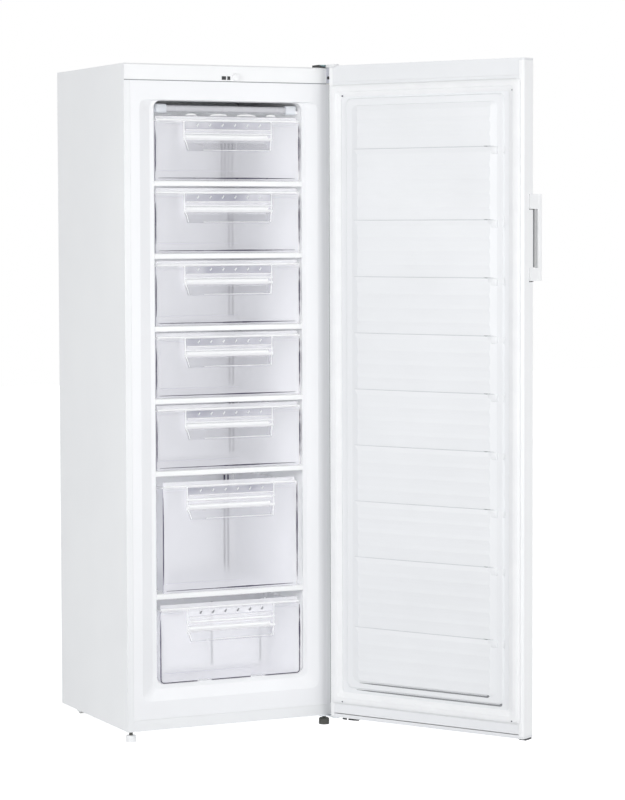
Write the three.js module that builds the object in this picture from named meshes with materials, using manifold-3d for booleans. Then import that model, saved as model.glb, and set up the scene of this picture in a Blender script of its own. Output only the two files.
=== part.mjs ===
// An upright freezer: an insulated cabinet with six evaporator shelves, seven clear drawers and one door,
// which hangs on the right and stands open.
//
// Millimetres, +Z up. The pieces are drawn with the cabinet's front frame in the plane y = 0, its back
// towards +Y, its middle at x = 0 and the floor at z = 0. The door is drawn shut and turned on its pins.
// The finished group is then moved so that its origin is the middle of its footprint on the floor.
import * as THREE from "three";
import { mergeVertices } from "three/addons/utils/BufferGeometryUtils.js";
import Module from "manifold-3d";

const wasm = await Module();
wasm.setup();

// ---------------------------------------------------------------- driving dimensions

// Cabinet
const CABINET_WIDTH = 595;
const CABINET_HEIGHT = 1764; // floor to the top panel
const CABINET_DEPTH = 490; // front frame to back panel
const FLOOR_GAP = 28; // floor to the underside of the cabinet
const STEEL = 0.8; // painted sheet
const FIT = 0.3; // clearance between pieces that seat on each other
const RUNNING = 0.08; // radial clearance of pins and spindles that turn
const FRONT_RETURN = 17; // side panel folded round the front
const REAR_RETURN = 12; // side panel folded round the back
const PLINTH_HEIGHT = 29;
const PLINTH_THICKNESS = 1.5;

// Control fascia
const FASCIA_HEIGHT = 42;
const FASCIA_DEPTH = 30;
const FASCIA_WALL = 2.5;
const FASCIA_ROUNDING = 4;
const FASCIA_GAP = 1.4; // shadow gap under the fascia
const HINGE_FACE_WIDTH = 16; // steel hinge face beside the fascia
const KNOB_X = 17;
const KNOB_DIAMETER = 19;
const KNOB_HEIGHT = 6;
const SPINDLE_DIAMETER = 6;
const LENS_HEIGHT = 9;
const LENS_LEFT_X = -16;
const LENS_LEFT_WIDTH = 12;
const LENS_RIGHT_X = -2;
const LENS_RIGHT_WIDTH = 8;

// Freezing compartment
const LINER = 1.5;
const SIDE_WALL = 85.5; // outside of the cabinet to the compartment
const REAR_WALL = 54;
const CAVITY_FLOOR = 147;
const CAVITY_CORNER = 18;
const MOUTH_FLARE = 42.5; // how far the mouth opens out at each side
const MOUTH_STEP = 12; // the flare stops this far from the compartment's wall
const MOUTH_DEPTH = 8;
const MOUTH_DROP = 43; // how far the mouth opens out below the floor
const LINTEL_DROP = 93; // top of the cabinet to the mouth
const LINTEL_DEPTH = 30;
const CEILING_RISE = 19; // ceiling above the mouth

// Bays, from the floor up: their heights in proportion to each other
const BAY_SHARES = [236, 322, 189, 189, 189, 189, 188];
const SHELF_PLATE = 1.2;
const SHELF_FRONT = 17;
const TRIM_HEIGHT = 14;
const TRIM_DEPTH = 10;
const LEDGE_WIDTH = 8;
const LEDGE_HEIGHT = 8;

// Evaporator coils
const COIL_TUBE = 8;
const COIL_RUNS = 9;
const COIL_MARGIN = 36; // wall of the compartment to the outermost run
const BAR_HEIGHT = 17;
const BAR_DEPTH = 12;
const CLIP_LENGTH = 28;
const CLIP_INSET = 12; // wall of the compartment to the clip

// Drawers
const DRAWER_SIDE_GAP = 5.2;
const DRAWER_WALL = 2.2;
const DRAWER_FRONT_WALL = 3;
const DRAWER_DRAFT = 6;
const DRAWER_FRONT = 12; // front frame to the drawers' fronts
const DRAWER_REAR_GAP = 24;
const DRAWER_HEADROOM = 31; // top of a drawer to the shelf above
const DEEP_HEADROOM = 43;
const RIM_THICKNESS = 2.5;
const GRIP_WIDTH = 252;
const GRIP = { bottom: 79, bar: 47, rib: 34 }; // from the rim down: the pocket's lip, the bar and a rib
const DEEP_GRIP = { bottom: 89, bar: 58, rib: 35 };
const GRIP_BAR = 9;
const GRIP_RIB = 4;
const POCKET_DEPTH = 32;
const POCKET_TAPER = 8;
const FLOOR_RIBS = 11;
const CHANNEL_WIDTH = 38;
const CHANNEL_CENTRE = 76;
const CHANNEL_RISE = 3;

// Compressor bay
const ALCOVE_DEPTH = 240;
const ALCOVE_TOP = 262;
const ALCOVE_WALL = 32; // insulation in front of the alcove
const ALCOVE_ROOF = 38; // insulation over it
const PAN = 1;
const RAIL_HEIGHT = 40; // floor to the compressor plate
const RAIL = 2;
const RAIL_FLANGE = 12;
const COMPRESSOR_RADIUS = 78;
const COMPRESSOR_HEIGHT = 158;
const COMPRESSOR_X = 70;
const RUBBER_HEIGHT = 16;
const TRAY_HEIGHT = 16;
const DRIER_RADIUS = 9;
const DRIER_LENGTH = 110;
const CONDENSER_TUBE = 5;
const CONDENSER_PITCH = 62;
const CONDENSER_MARGIN = 50;
const GLAND_RADIUS = 7;

// Feet and rollers
const FOOT_RADIUS = 14;
const FOOT_HEIGHT = 17;
const FOOT_INSET = 17;
const FOOT_NECK = 5;
const ROLLER_RADIUS = 14;
const ROLLER_WIDTH = 18;
const ROLLER_INSET = 50;
const AXLE_RADIUS = 3;

// Door
const DOOR_OPEN = 120; // degrees from shut
const DOOR_GAP = 10; // front frame to the door's inner face
const DOOR_THICKNESS = 52;
const DOOR_BOTTOM = 30.5;
const DOOR_RISE = 3; // door's top above the cabinet's
const DOOR_ROUNDING = 6;
const DOOR_RETURN = 14; // steel folded round the inner face
const CAP_THICKNESS = 5;
const BOTTOM_BAND = 9.5; // inner face of the bottom cap
const BOTTOM_SEAM = 2; // shadow gap over it
const TOP_BAND = 44; // inner face of the top cap
const PIN_INSET = 6; // hinge axis to the door's edge
const PIN_DEPTH = 31; // front frame to the hinge axis
const PIN_RADIUS = 3;
const BOSS_RADIUS = 5.2;
const PIN_LENGTH = 18;
const HINGE_PLATE = 3;
const TOP_PLATE = 7.5; // the top one is folded up at its edges
const PLATE_ROOT = 44; // front frame to the plates' rear ends
const PLATE_SPAN = 36; // cabinet's side to the plates' inner edges
const HINGE_NOTCH = 23;
const PLATEAU_RISE = 3.5; // the liner's outer step above its land
const PLATEAU_SIDE = 56; // door's edge to the outer step
const PLATEAU_SLOPE = 4;
const PLATEAU_CORNER = 16;
const PLATEAU_BELOW_MOUTH = 9; // sill's bevel to the outer step, both at the bottom and over the lintel
const FIELD_RISE = 7; // the panelled field above the land
const FIELD_INSET = 20; // outer step to the field
const FIELD_SLOPE = 5;
const FIELD_SIDE_SLOPE = 22;
const PANEL_SHARES = [148, 187, 148.5, 148.5, 148.5, 148.5, 148.5, 148.5, 187, 114]; // from the bottom up
const STEP_DEPTH = 2.2; // each panel's top edge lies under the next one's bottom edge
const STEP_SLOPE = 15;
const RIB_PITCH = 36;
const RIB_RISE = 0.7;
const GASKET_WIDTH = 32;
const GASKET_EDGE = 9.5; // door's edge to the gasket
const GASKET_GAP = 0.4; // left to the frame when shut

// Handle
const HANDLE_DROP = 344; // door's top to the top of the handle
const HANDLE_LENGTH = 221.5;
const HANDLE_WIDTH = 12;
const HANDLE_BAR_DEPTH = 21;
const HANDLE_REACH = 38; // door's outer face to the front of the bar
const MOUNT_UPPER = 38;
const MOUNT_LOWER = 33.5;
const MOUNT_WRAP = 26; // along the door's edge
const MOUNT_PLATE = 4;

// ---------------------------------------------------------------- derived places

const HALF = CABINET_WIDTH / 2;
const BACK = CABINET_DEPTH;
const CAVITY_HALF = HALF - SIDE_WALL;
const CAVITY_BACK = BACK - REAR_WALL;
const MOUTH_TOP = CABINET_HEIGHT - LINTEL_DROP;
const CEILING = MOUTH_TOP + CEILING_RISE;
const FASCIA_BOTTOM = CABINET_HEIGHT - FASCIA_HEIGHT;
const FRAME_BOTTOM = FLOOR_GAP + PLINTH_HEIGHT;
const TOP_LEVEL = MOUTH_TOP - CEILING_RISE - 2; // top of the uppermost evaporator
const bayUnit = (TOP_LEVEL - CAVITY_FLOOR) / BAY_SHARES.reduce((a, b) => a + b);
const BAYS = BAY_SHARES.map((share) => share * bayUnit);
// The floors of the bays from the top down: the shelves, then the liner's floor.
const FLOORS = BAYS.map((_, i) => CAVITY_FLOOR + BAYS.slice(0, i).reduce((a, b) => a + b, 0)).reverse();
const LEVELS = FLOORS.slice(0, -1);
const ALCOVE_FRONT = BACK - ALCOVE_DEPTH;
const HUMP_FRONT = ALCOVE_FRONT - ALCOVE_WALL;
const HUMP_TOP = ALCOVE_TOP + ALCOVE_ROOF;
const DOOR_TOP = CABINET_HEIGHT + DOOR_RISE;
const HANDLE_BOTTOM = DOOR_TOP - HANDLE_DROP - HANDLE_LENGTH;
const DOOR_INNER = -DOOR_GAP;
const DOOR_OUTER = -DOOR_GAP - DOOR_THICKNESS;
const PIN_X = HALF - PIN_INSET;
const PIN_Y = -PIN_DEPTH;
const RAIL_TOP = RAIL_HEIGHT + RAIL;
const HINGE_BOTTOM = FLOOR_GAP - FIT - HINGE_PLATE;
const PAN_FRONT = PLINTH_THICKNESS + FIT;

// ---------------------------------------------------------------- solids

// A closed geometry as a solid that can be joined and cut.
function solid(geometry) {
  const bare = geometry.index ? geometry.toNonIndexed() : geometry.clone();
  bare.deleteAttribute("normal");
  bare.deleteAttribute("uv");
  const merged = mergeVertices(bare, 1e-4);
  const vertProperties = merged.attributes.position.array;
  const triVerts = new Uint32Array(merged.index.array);
  return new wasm.Manifold(new wasm.Mesh({ numProp: 3, vertProperties, triVerts }));
}

// A solid's faces as a flat-shaded geometry.
function faces(shape) {
  const { vertProperties, triVerts } = shape.getMesh();
  const geometry = new THREE.BufferGeometry();
  geometry.setAttribute("position", new THREE.BufferAttribute(vertProperties, 3));
  geometry.setIndex(new THREE.BufferAttribute(triVerts, 1));
  const flat = geometry.toNonIndexed();
  flat.computeVertexNormals();
  return flat;
}

const join = (...shapes) => shapes.flat().reduce((a, b) => a.add(b));

// A box between two values of x, y and z.
function box([x0, x1], [y0, y1], [z0, z1]) {
  const geometry = new THREE.BoxGeometry(x1 - x0, y1 - y0, z1 - z0);
  return solid(geometry.translate((x0 + x1) / 2, (y0 + y1) / 2, (z0 + z1) / 2));
}

// Where an outline's two values and its place along an axis lie in space.
const PLACE = {
  x: (u, v, at) => [at, u, v],
  y: (u, v, at) => [u, at, v],
  z: (u, v, at) => [u, v, at],
};

// An outline pushed along an axis: the outline is [y, z] along x, [x, z] along y and [x, y] along z.
function prism(axis, outline, from, to) {
  const shape = new THREE.Shape(outline.map(([u, v]) => new THREE.Vector2(u, v)));
  const geometry = new THREE.ExtrudeGeometry(shape, { depth: to - from, bevelEnabled: false });
  const turn = new THREE.Matrix4();
  if (axis === "x") {
    turn.makeBasis(new THREE.Vector3(0, 1, 0), new THREE.Vector3(0, 0, 1), new THREE.Vector3(1, 0, 0));
    geometry.applyMatrix4(turn).translate(from, 0, 0);
  } else if (axis === "y") {
    geometry.rotateX(Math.PI / 2).translate(0, to, 0);
  } else {
    geometry.translate(0, 0, from);
  }
  return solid(geometry);
}

// A skin over outlines with the same number of points, each at its own place along an axis.
function loft(axis, sections) {
  const count = sections[0].outline.length;
  const rings = sections.map(({ at, outline }) => outline.map(([u, v]) => PLACE[axis](u, v, at)));
  const index = [];
  for (let s = 0; s + 1 < sections.length; s++) {
    for (let i = 0; i < count; i++) {
      const a = s * count + i;
      const b = s * count + ((i + 1) % count);
      index.push(a, b, b + count, a, b + count, a + count);
    }
  }
  const last = (sections.length - 1) * count;
  for (const [start, at, flip] of [[0, 0, true], [last, sections.length - 1, false]]) {
    const contour = sections[at].outline.map(([u, v]) => new THREE.Vector2(u, v));
    const across = THREE.ShapeUtils.triangulateShape(contour, []);
    const ccw = THREE.ShapeUtils.area(contour) > 0;
    for (const [a, b, c] of across) {
      if (flip === ccw) index.push(start + a, start + c, start + b);
      else index.push(start + a, start + b, start + c);
    }
    if (ccw || !flip) continue;
    for (let i = 0; i < last * 6; i += 3) [index[i + 1], index[i + 2]] = [index[i + 2], index[i + 1]];
  }
  const geometry = new THREE.BufferGeometry();
  geometry.setAttribute("position", new THREE.Float32BufferAttribute(rings.flat(2), 3));
  geometry.setIndex(index);
  return outward(geometry);
}

// The geometry's solid, with its faces turned to point out.
function outward(geometry) {
  const p = geometry.attributes.position;
  const at = geometry.index.array;
  const [a, b, c] = [0, 0, 0].map(() => new THREE.Vector3());
  let volume = 0;
  for (let i = 0; i < at.length; i += 3) {
    a.fromBufferAttribute(p, at[i]);
    b.fromBufferAttribute(p, at[i + 1]);
    c.fromBufferAttribute(p, at[i + 2]);
    volume += a.dot(b.cross(c));
  }
  if (volume < 0) {
    for (let i = 0; i < at.length; i += 3) [at[i + 1], at[i + 2]] = [at[i + 2], at[i + 1]];
  }
  return solid(geometry);
}

// A rectangle with rounded corners, counter-clockwise.
function rounded([u0, u1], [v0, v1], radius, steps = 4) {
  const corners = [
    [u1 - radius, v1 - radius, 0],
    [u0 + radius, v1 - radius, 1],
    [u0 + radius, v0 + radius, 2],
    [u1 - radius, v0 + radius, 3],
  ];
  return corners.flatMap(([u, v, quarter]) =>
    [...Array(steps + 1).keys()].map((i) => {
      const angle = ((quarter + i / steps) * Math.PI) / 2;
      return [u + radius * Math.cos(angle), v + radius * Math.sin(angle)];
    }),
  );
}

// A round bar along an axis through (u, v), in the outline values of that axis.
function rod(axis, [u, v], radius, from, to, sides = 20) {
  const outline = [...Array(sides).keys()].map((i) => {
    const angle = (2 * Math.PI * i) / sides;
    return [u + radius * Math.cos(angle), v + radius * Math.sin(angle)];
  });
  return prism(axis, outline, from, to);
}

// A tube that bends in one plane, whose normal is given.
function tube(points, radius, normal, sides = 6) {
  const side = new THREE.Vector3(...normal);
  const path = points.map((p) => new THREE.Vector3(...p));
  const positions = [];
  path.forEach((p, i) => {
    const ahead = path[Math.min(i + 1, path.length - 1)].clone();
    const along = ahead.sub(path[Math.max(i - 1, 0)]).normalize();
    const across = new THREE.Vector3().crossVectors(along, side);
    for (let k = 0; k < sides; k++) {
      const angle = (2 * Math.PI * k) / sides;
      const out = across.clone().multiplyScalar(Math.cos(angle)).addScaledVector(side, Math.sin(angle));
      positions.push(...p.clone().addScaledVector(out, radius).toArray());
    }
  });
  const index = [];
  for (let i = 0; i + 1 < path.length; i++) {
    for (let k = 0; k < sides; k++) {
      const a = i * sides + k;
      const b = i * sides + ((k + 1) % sides);
      index.push(a, b, b + sides, a, b + sides, a + sides);
    }
  }
  const last = (path.length - 1) * sides;
  for (let k = 1; k + 1 < sides; k++) index.push(0, k + 1, k, last, last + k, last + k + 1);
  const geometry = new THREE.BufferGeometry();
  geometry.setAttribute("position", new THREE.Float32BufferAttribute(positions, 3));
  geometry.setIndex(index);
  return outward(geometry);
}

// The points of a coil of parallel runs joined by half-circle bends: the runs go from v0 to v1, a pitch
// apart along u and centred on 0.
function serpentine(runs, pitch, v0, v1, bend = 4) {
  const points = [];
  for (let i = 0; i < runs; i++) {
    const u = (i - (runs - 1) / 2) * pitch;
    const up = i % 2 === 0;
    points.push([u, up ? v0 : v1], [u, up ? v1 : v0]);
    if (i + 1 === runs) break;
    for (let k = 1; k < bend; k++) {
      const angle = (Math.PI * k) / bend;
      const reach = (pitch / 2) * Math.sin(angle) * (up ? 1 : -1);
      points.push([u + (pitch / 2) * (1 - Math.cos(angle)), (up ? v1 : v0) + reach]);
    }
  }
  return points;
}

// ---------------------------------------------------------------- materials

const paint = (color, roughness, metalness = 0) =>
  new THREE.MeshStandardMaterial({ color, roughness, metalness });
const FINISHES = {
  whiteSteel: () => paint(0xe9ebec, 0.35, 0.1),
  zinc: () => paint(0xaab0b3, 0.4, 0.9),
  darkSteel: () => paint(0x1c1d1f, 0.5, 0.4),
  whitePlastic: () => paint(0xf3f4f5, 0.4),
  liner: () => paint(0xf6f7f8, 0.45),
  foam: () => paint(0xe6d9a8, 0.95),
  gasket: () => paint(0xeceded, 0.7),
  clear: () => Object.assign(paint(0xd5d6e2, 0.08), { transparent: true, opacity: 0.4 }),
  aluminium: () => paint(0xcdd0d2, 0.45, 0.8),
  copper: () => paint(0xb4714a, 0.35, 0.9),
  black: () => paint(0x17181a, 0.6),
  smoked: () => paint(0x202124, 0.2),
};

const freezer = new THREE.Group();

function add(name, shape, finish, group = freezer) {
  const mesh = new THREE.Mesh(faces(shape), FINISHES[finish]());
  mesh.name = name;
  group.add(mesh);
  return mesh;
}

// ---------------------------------------------------------------- steel casing

// Each side is one sheet, folded round the front and the back. The folds stop under the fascia and the top.
const sideOutline = [
  [HALF, 0],
  [HALF, BACK],
  [HALF - REAR_RETURN, BACK],
  [HALF - REAR_RETURN, BACK - STEEL],
  [HALF - STEEL, BACK - STEEL],
  [HALF - STEEL, STEEL],
  [HALF - FRONT_RETURN, STEEL],
  [HALF - FRONT_RETURN, 0],
];
for (const [name, side] of [["side_panel_left", -1], ["side_panel_right", 1]]) {
  const outline = sideOutline.map(([x, y]) => [side * x, y]);
  const folds = [side * (HALF - STEEL), side * (HALF - 2 * FRONT_RETURN)].sort((a, b) => a - b);
  const foldsTop = join(
    box(folds, [-1, 2], [FASCIA_BOTTOM - FASCIA_GAP, CABINET_HEIGHT + 1]),
    box(folds, [BACK - 2, BACK + 1], [CABINET_HEIGHT - REAR_RETURN - FIT, CABINET_HEIGHT + 1]),
  );
  add(name, prism("z", outline, FLOOR_GAP, CABINET_HEIGHT).subtract(foldsTop), "whiteSteel");
}

const INSIDE = HALF - STEEL - FIT; // inner face of the side panels
add(
  "top_panel",
  join(
    box([-INSIDE, INSIDE], [FASCIA_DEPTH + FIT, BACK], [CABINET_HEIGHT - STEEL, CABINET_HEIGHT]),
    box([-INSIDE, INSIDE], [BACK - STEEL, BACK], [CABINET_HEIGHT - REAR_RETURN, CABINET_HEIGHT]),
  ),
  "whiteSteel",
);

const BACK_HALF = HALF - REAR_RETURN - FIT;
const BACK_TOP = CABINET_HEIGHT - REAR_RETURN - FIT;
const backPanel = box([-BACK_HALF, BACK_HALF], [BACK - STEEL, BACK], [ALCOVE_TOP, BACK_TOP]);
add("back_panel", backPanel, "whiteSteel");

// The pan under the insulation steps up and back over the compressor.
const panOutline = [
  [PAN_FRONT, FLOOR_GAP],
  [ALCOVE_FRONT, FLOOR_GAP],
  [ALCOVE_FRONT, ALCOVE_TOP - PAN],
  [BACK - STEEL - FIT, ALCOVE_TOP - PAN],
  [BACK - STEEL - FIT, ALCOVE_TOP],
  [ALCOVE_FRONT - PAN, ALCOVE_TOP],
  [ALCOVE_FRONT - PAN, FLOOR_GAP + PAN],
  [PAN_FRONT, FLOOR_GAP + PAN],
];
add("base_pan", prism("x", panOutline, -INSIDE, INSIDE), "zinc");

const FRAME_HALF = HALF - FRONT_RETURN - FIT;
add(
  "plinth",
  box([-FRAME_HALF, FRAME_HALF], [0, PLINTH_THICKNESS], [FLOOR_GAP, FRAME_BOTTOM - FIT]),
  "whiteSteel",
);

// ---------------------------------------------------------------- compartment

// The space of the compartment, grown by a wall's thickness: its flared mouth, its rounded rear corners,
// the recess behind the lintel and the hump over the compressor.
function compartment(wall) {
  const section = (half, bottom, top, radius) =>
    rounded([-half - wall, half + wall], [bottom - wall, top + wall], radius + wall);
  const flareOut = CAVITY_HALF + MOUTH_FLARE;
  const flareIn = CAVITY_HALF + MOUTH_STEP;
  const open = section(flareOut, CAVITY_FLOOR - MOUTH_DROP, MOUTH_TOP, CAVITY_CORNER);
  const step = section(flareIn, CAVITY_FLOOR - MOUTH_STEP, MOUTH_TOP - 2, CAVITY_CORNER);
  const mouth = loft("y", [
    { at: -5, outline: open },
    { at: 0, outline: open },
    { at: MOUTH_DEPTH + wall, outline: step },
  ]);
  const rear = CAVITY_BACK + wall;
  const inner = (inset) => section(CAVITY_HALF - inset, CAVITY_FLOOR, MOUTH_TOP - 2, CAVITY_CORNER);
  const main = loft("y", [
    { at: MOUTH_DEPTH - 1, outline: inner(0) },
    { at: rear - CAVITY_CORNER, outline: inner(0) },
    { at: rear - CAVITY_CORNER / 4, outline: inner(CAVITY_CORNER / 3) },
    { at: rear, outline: inner(CAVITY_CORNER) },
  ]);
  const reach = CAVITY_HALF + wall;
  const recess = box(
    [-reach, reach],
    [LINTEL_DEPTH - wall, rear - CAVITY_CORNER],
    [MOUTH_TOP - CAVITY_CORNER - 2, CEILING + wall],
  );
  const humpEdge = 12;
  const humpFront = HUMP_FRONT + wall;
  const humpTop = HUMP_TOP - wall;
  const hump = prism(
    "x",
    [
      [humpFront, 0],
      [BACK, 0],
      [BACK, humpTop],
      [humpFront + humpEdge, humpTop],
      [humpFront, humpTop - humpEdge],
    ],
    -HALF,
    HALF,
  );
  return join(mouth, main, recess).subtract(hump);
}

// Ledges on the liner's sides carry the evaporator shelves.
function ledges(level) {
  return [-1, 1].map((side) => {
    const ends = [side * (CAVITY_HALF - LEDGE_WIDTH), side * (CAVITY_HALF + LINER / 2)].sort((a, b) => a - b);
    const top = level - SHELF_PLATE - FIT;
    return box(ends, [LINTEL_DEPTH, CAVITY_BACK - 30], [top - LEDGE_HEIGHT, top]);
  });
}

const frame = box([-FRAME_HALF, FRAME_HALF], [0, LINER], [FRAME_BOTTOM, FASCIA_BOTTOM - FASCIA_GAP]);
const shell = join(frame, compartment(LINER).subtract(box([-HALF, HALF], [-10, 0], [0, CABINET_HEIGHT])));
const liner = join(shell.subtract(compartment(0)), [TOP_LEVEL, ...LEVELS].flatMap(ledges));
add("inner_liner", liner, "liner");

const condenserRoom = CONDENSER_TUBE + 2 * FIT + STEEL;
const foamBlock = box(
  [-INSIDE, INSIDE],
  [PAN_FRONT, BACK - condenserRoom],
  [FLOOR_GAP + PAN + FIT, CABINET_HEIGHT - STEEL - FIT],
);
const foamCuts = join(
  compartment(LINER + FIT),
  box([-HALF, HALF], [0, FASCIA_DEPTH + FIT], [FASCIA_BOTTOM - FIT, CABINET_HEIGHT]),
  box([-HALF, HALF], [ALCOVE_FRONT - PAN - FIT, BACK], [0, ALCOVE_TOP + FIT]),
);
add("cabinet_foam", foamBlock.subtract(foamCuts), "foam");

// The condenser's tube lies in the back wall, between the insulation and the back panel.
const condenserY = BACK - STEEL - FIT - CONDENSER_TUBE / 2;
const condenserRuns = 2 * Math.floor((CABINET_WIDTH - 2 * CONDENSER_MARGIN) / CONDENSER_PITCH / 2);
const condenserPath = serpentine(
  condenserRuns,
  CONDENSER_PITCH,
  ALCOVE_TOP + CONDENSER_MARGIN,
  CABINET_HEIGHT - 2 * CONDENSER_MARGIN,
).map(([u, v]) => [u, condenserY, v]);
add("condenser_coil", tube(condenserPath, CONDENSER_TUBE / 2, [0, 1, 0], 8), "copper");

// ---------------------------------------------------------------- evaporators

// A shelf is a plate with the evaporator's tube fixed under it.
function evaporator(level, front) {
  const half = CAVITY_HALF - FIT;
  const plate = box([-half, half], [front, CAVITY_BACK - CAVITY_CORNER], [level - SHELF_PLATE, level]);
  const pitch = (2 * (CAVITY_HALF - COIL_MARGIN)) / (COIL_RUNS - 1);
  const reach = pitch / 2 + COIL_TUBE;
  const path = serpentine(COIL_RUNS, pitch, front + reach, CAVITY_BACK - CAVITY_CORNER - reach, 3);
  const coilZ = level - SHELF_PLATE - COIL_TUBE * 0.4;
  return join(plate, tube(path.map(([u, v]) => [u, v, coilZ]), COIL_TUBE / 2, [0, 0, 1]));
}

LEVELS.forEach((level, i) => {
  add(`evaporator_shelf_${i + 1}`, evaporator(level, SHELF_FRONT), "aluminium");
  const half = CAVITY_HALF - FIT;
  const back = SHELF_FRONT - FIT;
  const profile = rounded([back - TRIM_DEPTH, back], [level - TRIM_HEIGHT, level], 2, 2);
  add(`shelf_trim_${i + 1}`, prism("x", profile, -half, half), "whitePlastic");
});

const BAR_BACK = SHELF_FRONT + BAR_DEPTH + 4;
const barHalf = CAVITY_HALF - CLIP_INSET - CLIP_LENGTH - FIT;
const barBottom = TOP_LEVEL - BAR_HEIGHT / 2;
add("evaporator_top", evaporator(TOP_LEVEL, BAR_BACK + FIT), "aluminium");
const barProfile = rounded([BAR_BACK - BAR_DEPTH, BAR_BACK], [barBottom, barBottom + BAR_HEIGHT], 5.5, 3);
add("evaporator_bar", prism("x", barProfile, -barHalf, barHalf), "whitePlastic");
for (const [name, side] of [["bar_clip_left", -1], ["bar_clip_right", 1]]) {
  const ends = [side * (barHalf + FIT), side * (CAVITY_HALF - CLIP_INSET)].sort((a, b) => a - b);
  const heights = [barBottom - 3, barBottom + BAR_HEIGHT + 3];
  const profile = rounded([BAR_BACK - BAR_DEPTH - 3, BAR_BACK], heights, 4, 3);
  add(name, prism("x", profile, ...ends), "clear");
}

// ---------------------------------------------------------------- control fascia

const fasciaOutline = [
  [0, FASCIA_BOTTOM],
  [FASCIA_DEPTH, FASCIA_BOTTOM],
  [FASCIA_DEPTH, CABINET_HEIGHT],
  ...[0, 1, 2, 3].map((i) => {
    const angle = Math.PI / 2 + (i / 3) * (Math.PI / 2);
    return [
      FASCIA_ROUNDING * (1 + Math.cos(angle)),
      CABINET_HEIGHT - FASCIA_ROUNDING * (1 - Math.sin(angle)),
    ];
  }),
];
const FASCIA_RIGHT = HALF - HINGE_FACE_WIDTH - FIT;
const fasciaInside = box(
  [-INSIDE + FASCIA_WALL, FASCIA_RIGHT - FASCIA_WALL],
  [FASCIA_WALL, CABINET_DEPTH],
  [FASCIA_BOTTOM + FASCIA_WALL, CABINET_HEIGHT - FASCIA_WALL],
);
const KNOB_Z = FASCIA_BOTTOM + 11.5;
const LENS_Z = FASCIA_BOTTOM + 8.5;
const lenses = [
  ["indicator_lens_left", LENS_LEFT_X, LENS_LEFT_WIDTH],
  ["indicator_lens_right", LENS_RIGHT_X, LENS_RIGHT_WIDTH],
];
const lensBox = (x, width, slack, depth) =>
  box(
    [x - width / 2 - slack, x + width / 2 + slack],
    depth,
    [LENS_Z - LENS_HEIGHT / 2 - slack, LENS_Z + LENS_HEIGHT / 2 + slack],
  );
const fasciaHoles = join(
  rod("y", [KNOB_X, KNOB_Z], SPINDLE_DIAMETER / 2 + FIT, -1, FASCIA_WALL + 1),
  lenses.map(([, x, width]) => lensBox(x, width, FIT, [-1, FASCIA_WALL + 1])),
);
add(
  "control_fascia",
  prism("x", fasciaOutline, -INSIDE, FASCIA_RIGHT).subtract(fasciaInside).subtract(fasciaHoles),
  "whitePlastic",
);
for (const [name, x, width] of lenses) add(name, lensBox(x, width, 0, [-0.6, FASCIA_WALL]), "smoked");

// The thermostat stands in the fascia, with its spindle through the front.
const thermostatSize = 26;
const thermostatBottom = FASCIA_BOTTOM + FASCIA_WALL + FIT;
add(
  "thermostat",
  join(
    box(
      [KNOB_X - thermostatSize / 2, KNOB_X + thermostatSize / 2],
      [FASCIA_WALL + FIT, FASCIA_DEPTH - 4],
      [thermostatBottom, thermostatBottom + thermostatSize],
    ),
    rod("y", [KNOB_X, KNOB_Z], SPINDLE_DIAMETER / 2, -KNOB_HEIGHT / 2, FASCIA_WALL + 2),
  ),
  "zinc",
);
const knobFace = KNOB_DIAMETER / 2;
const knob = new THREE.LatheGeometry(
  [
    [0, 0],
    [knobFace, 0],
    [knobFace - 0.4, KNOB_HEIGHT - 2],
    [knobFace - 1.6, KNOB_HEIGHT - 0.5],
    [0, KNOB_HEIGHT],
  ].map(([r, h]) => new THREE.Vector2(r, h)),
  32,
);
knob.rotateX(Math.PI).translate(KNOB_X, -FIT, KNOB_Z);
const knobBore = rod("y", [KNOB_X, KNOB_Z], SPINDLE_DIAMETER / 2 + RUNNING, -KNOB_HEIGHT / 2 - FIT, 1);
const knobMark = box(
  [KNOB_X - 0.6, KNOB_X + 0.6],
  [-KNOB_HEIGHT - 1, 1 - KNOB_HEIGHT],
  [KNOB_Z + 2, KNOB_Z + knobFace],
);
add("thermostat_knob", solid(knob).subtract(knobBore).subtract(knobMark), "whitePlastic");

// ---------------------------------------------------------------- hinges on the cabinet

// A flat arm that reaches forward from the cabinet to a round end on the hinge axis.
function hingeArm(bottom, thickness) {
  const end = 11;
  const arc = [...Array(9).keys()].map((i) => {
    const angle = Math.PI * (1 + i / 8);
    return [PIN_X + end * Math.cos(angle), PIN_Y + end * Math.sin(angle)];
  });
  const outline = [
    ...arc,
    [HALF - FIT, -4],
    [HALF - FIT, PLATE_ROOT],
    [HALF - PLATE_SPAN, PLATE_ROOT],
    [HALF - PLATE_SPAN, 3],
    [PIN_X - end, 0],
  ];
  return prism("z", outline, bottom, bottom + thickness);
}

const PIN = (from, to) => rod("z", [PIN_X, PIN_Y], PIN_RADIUS, from, to);
const HINGE_TOP = CABINET_HEIGHT + FIT;
const faceY = -FIT - HINGE_PLATE;
add(
  "top_hinge_bracket",
  join(
    hingeArm(HINGE_TOP, TOP_PLATE),
    PIN(DOOR_TOP - PIN_LENGTH - 4, HINGE_TOP + 1),
    box([FASCIA_RIGHT + FIT, HALF], [faceY, -FIT], [FASCIA_BOTTOM, HINGE_TOP + 1]),
  ),
  "zinc",
);
const boltAt = [HALF - 11, FASCIA_BOTTOM + 15];
add("top_hinge_bolt", rod("y", boltAt, 4.5, faceY - FIT - 3, faceY - FIT, 6), "darkSteel");
add(
  "lower_hinge_bracket",
  join(hingeArm(HINGE_BOTTOM, HINGE_PLATE), PIN(HINGE_BOTTOM + 1, DOOR_BOTTOM + PIN_LENGTH)),
  "zinc",
);

// ---------------------------------------------------------------- compressor bay

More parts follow.
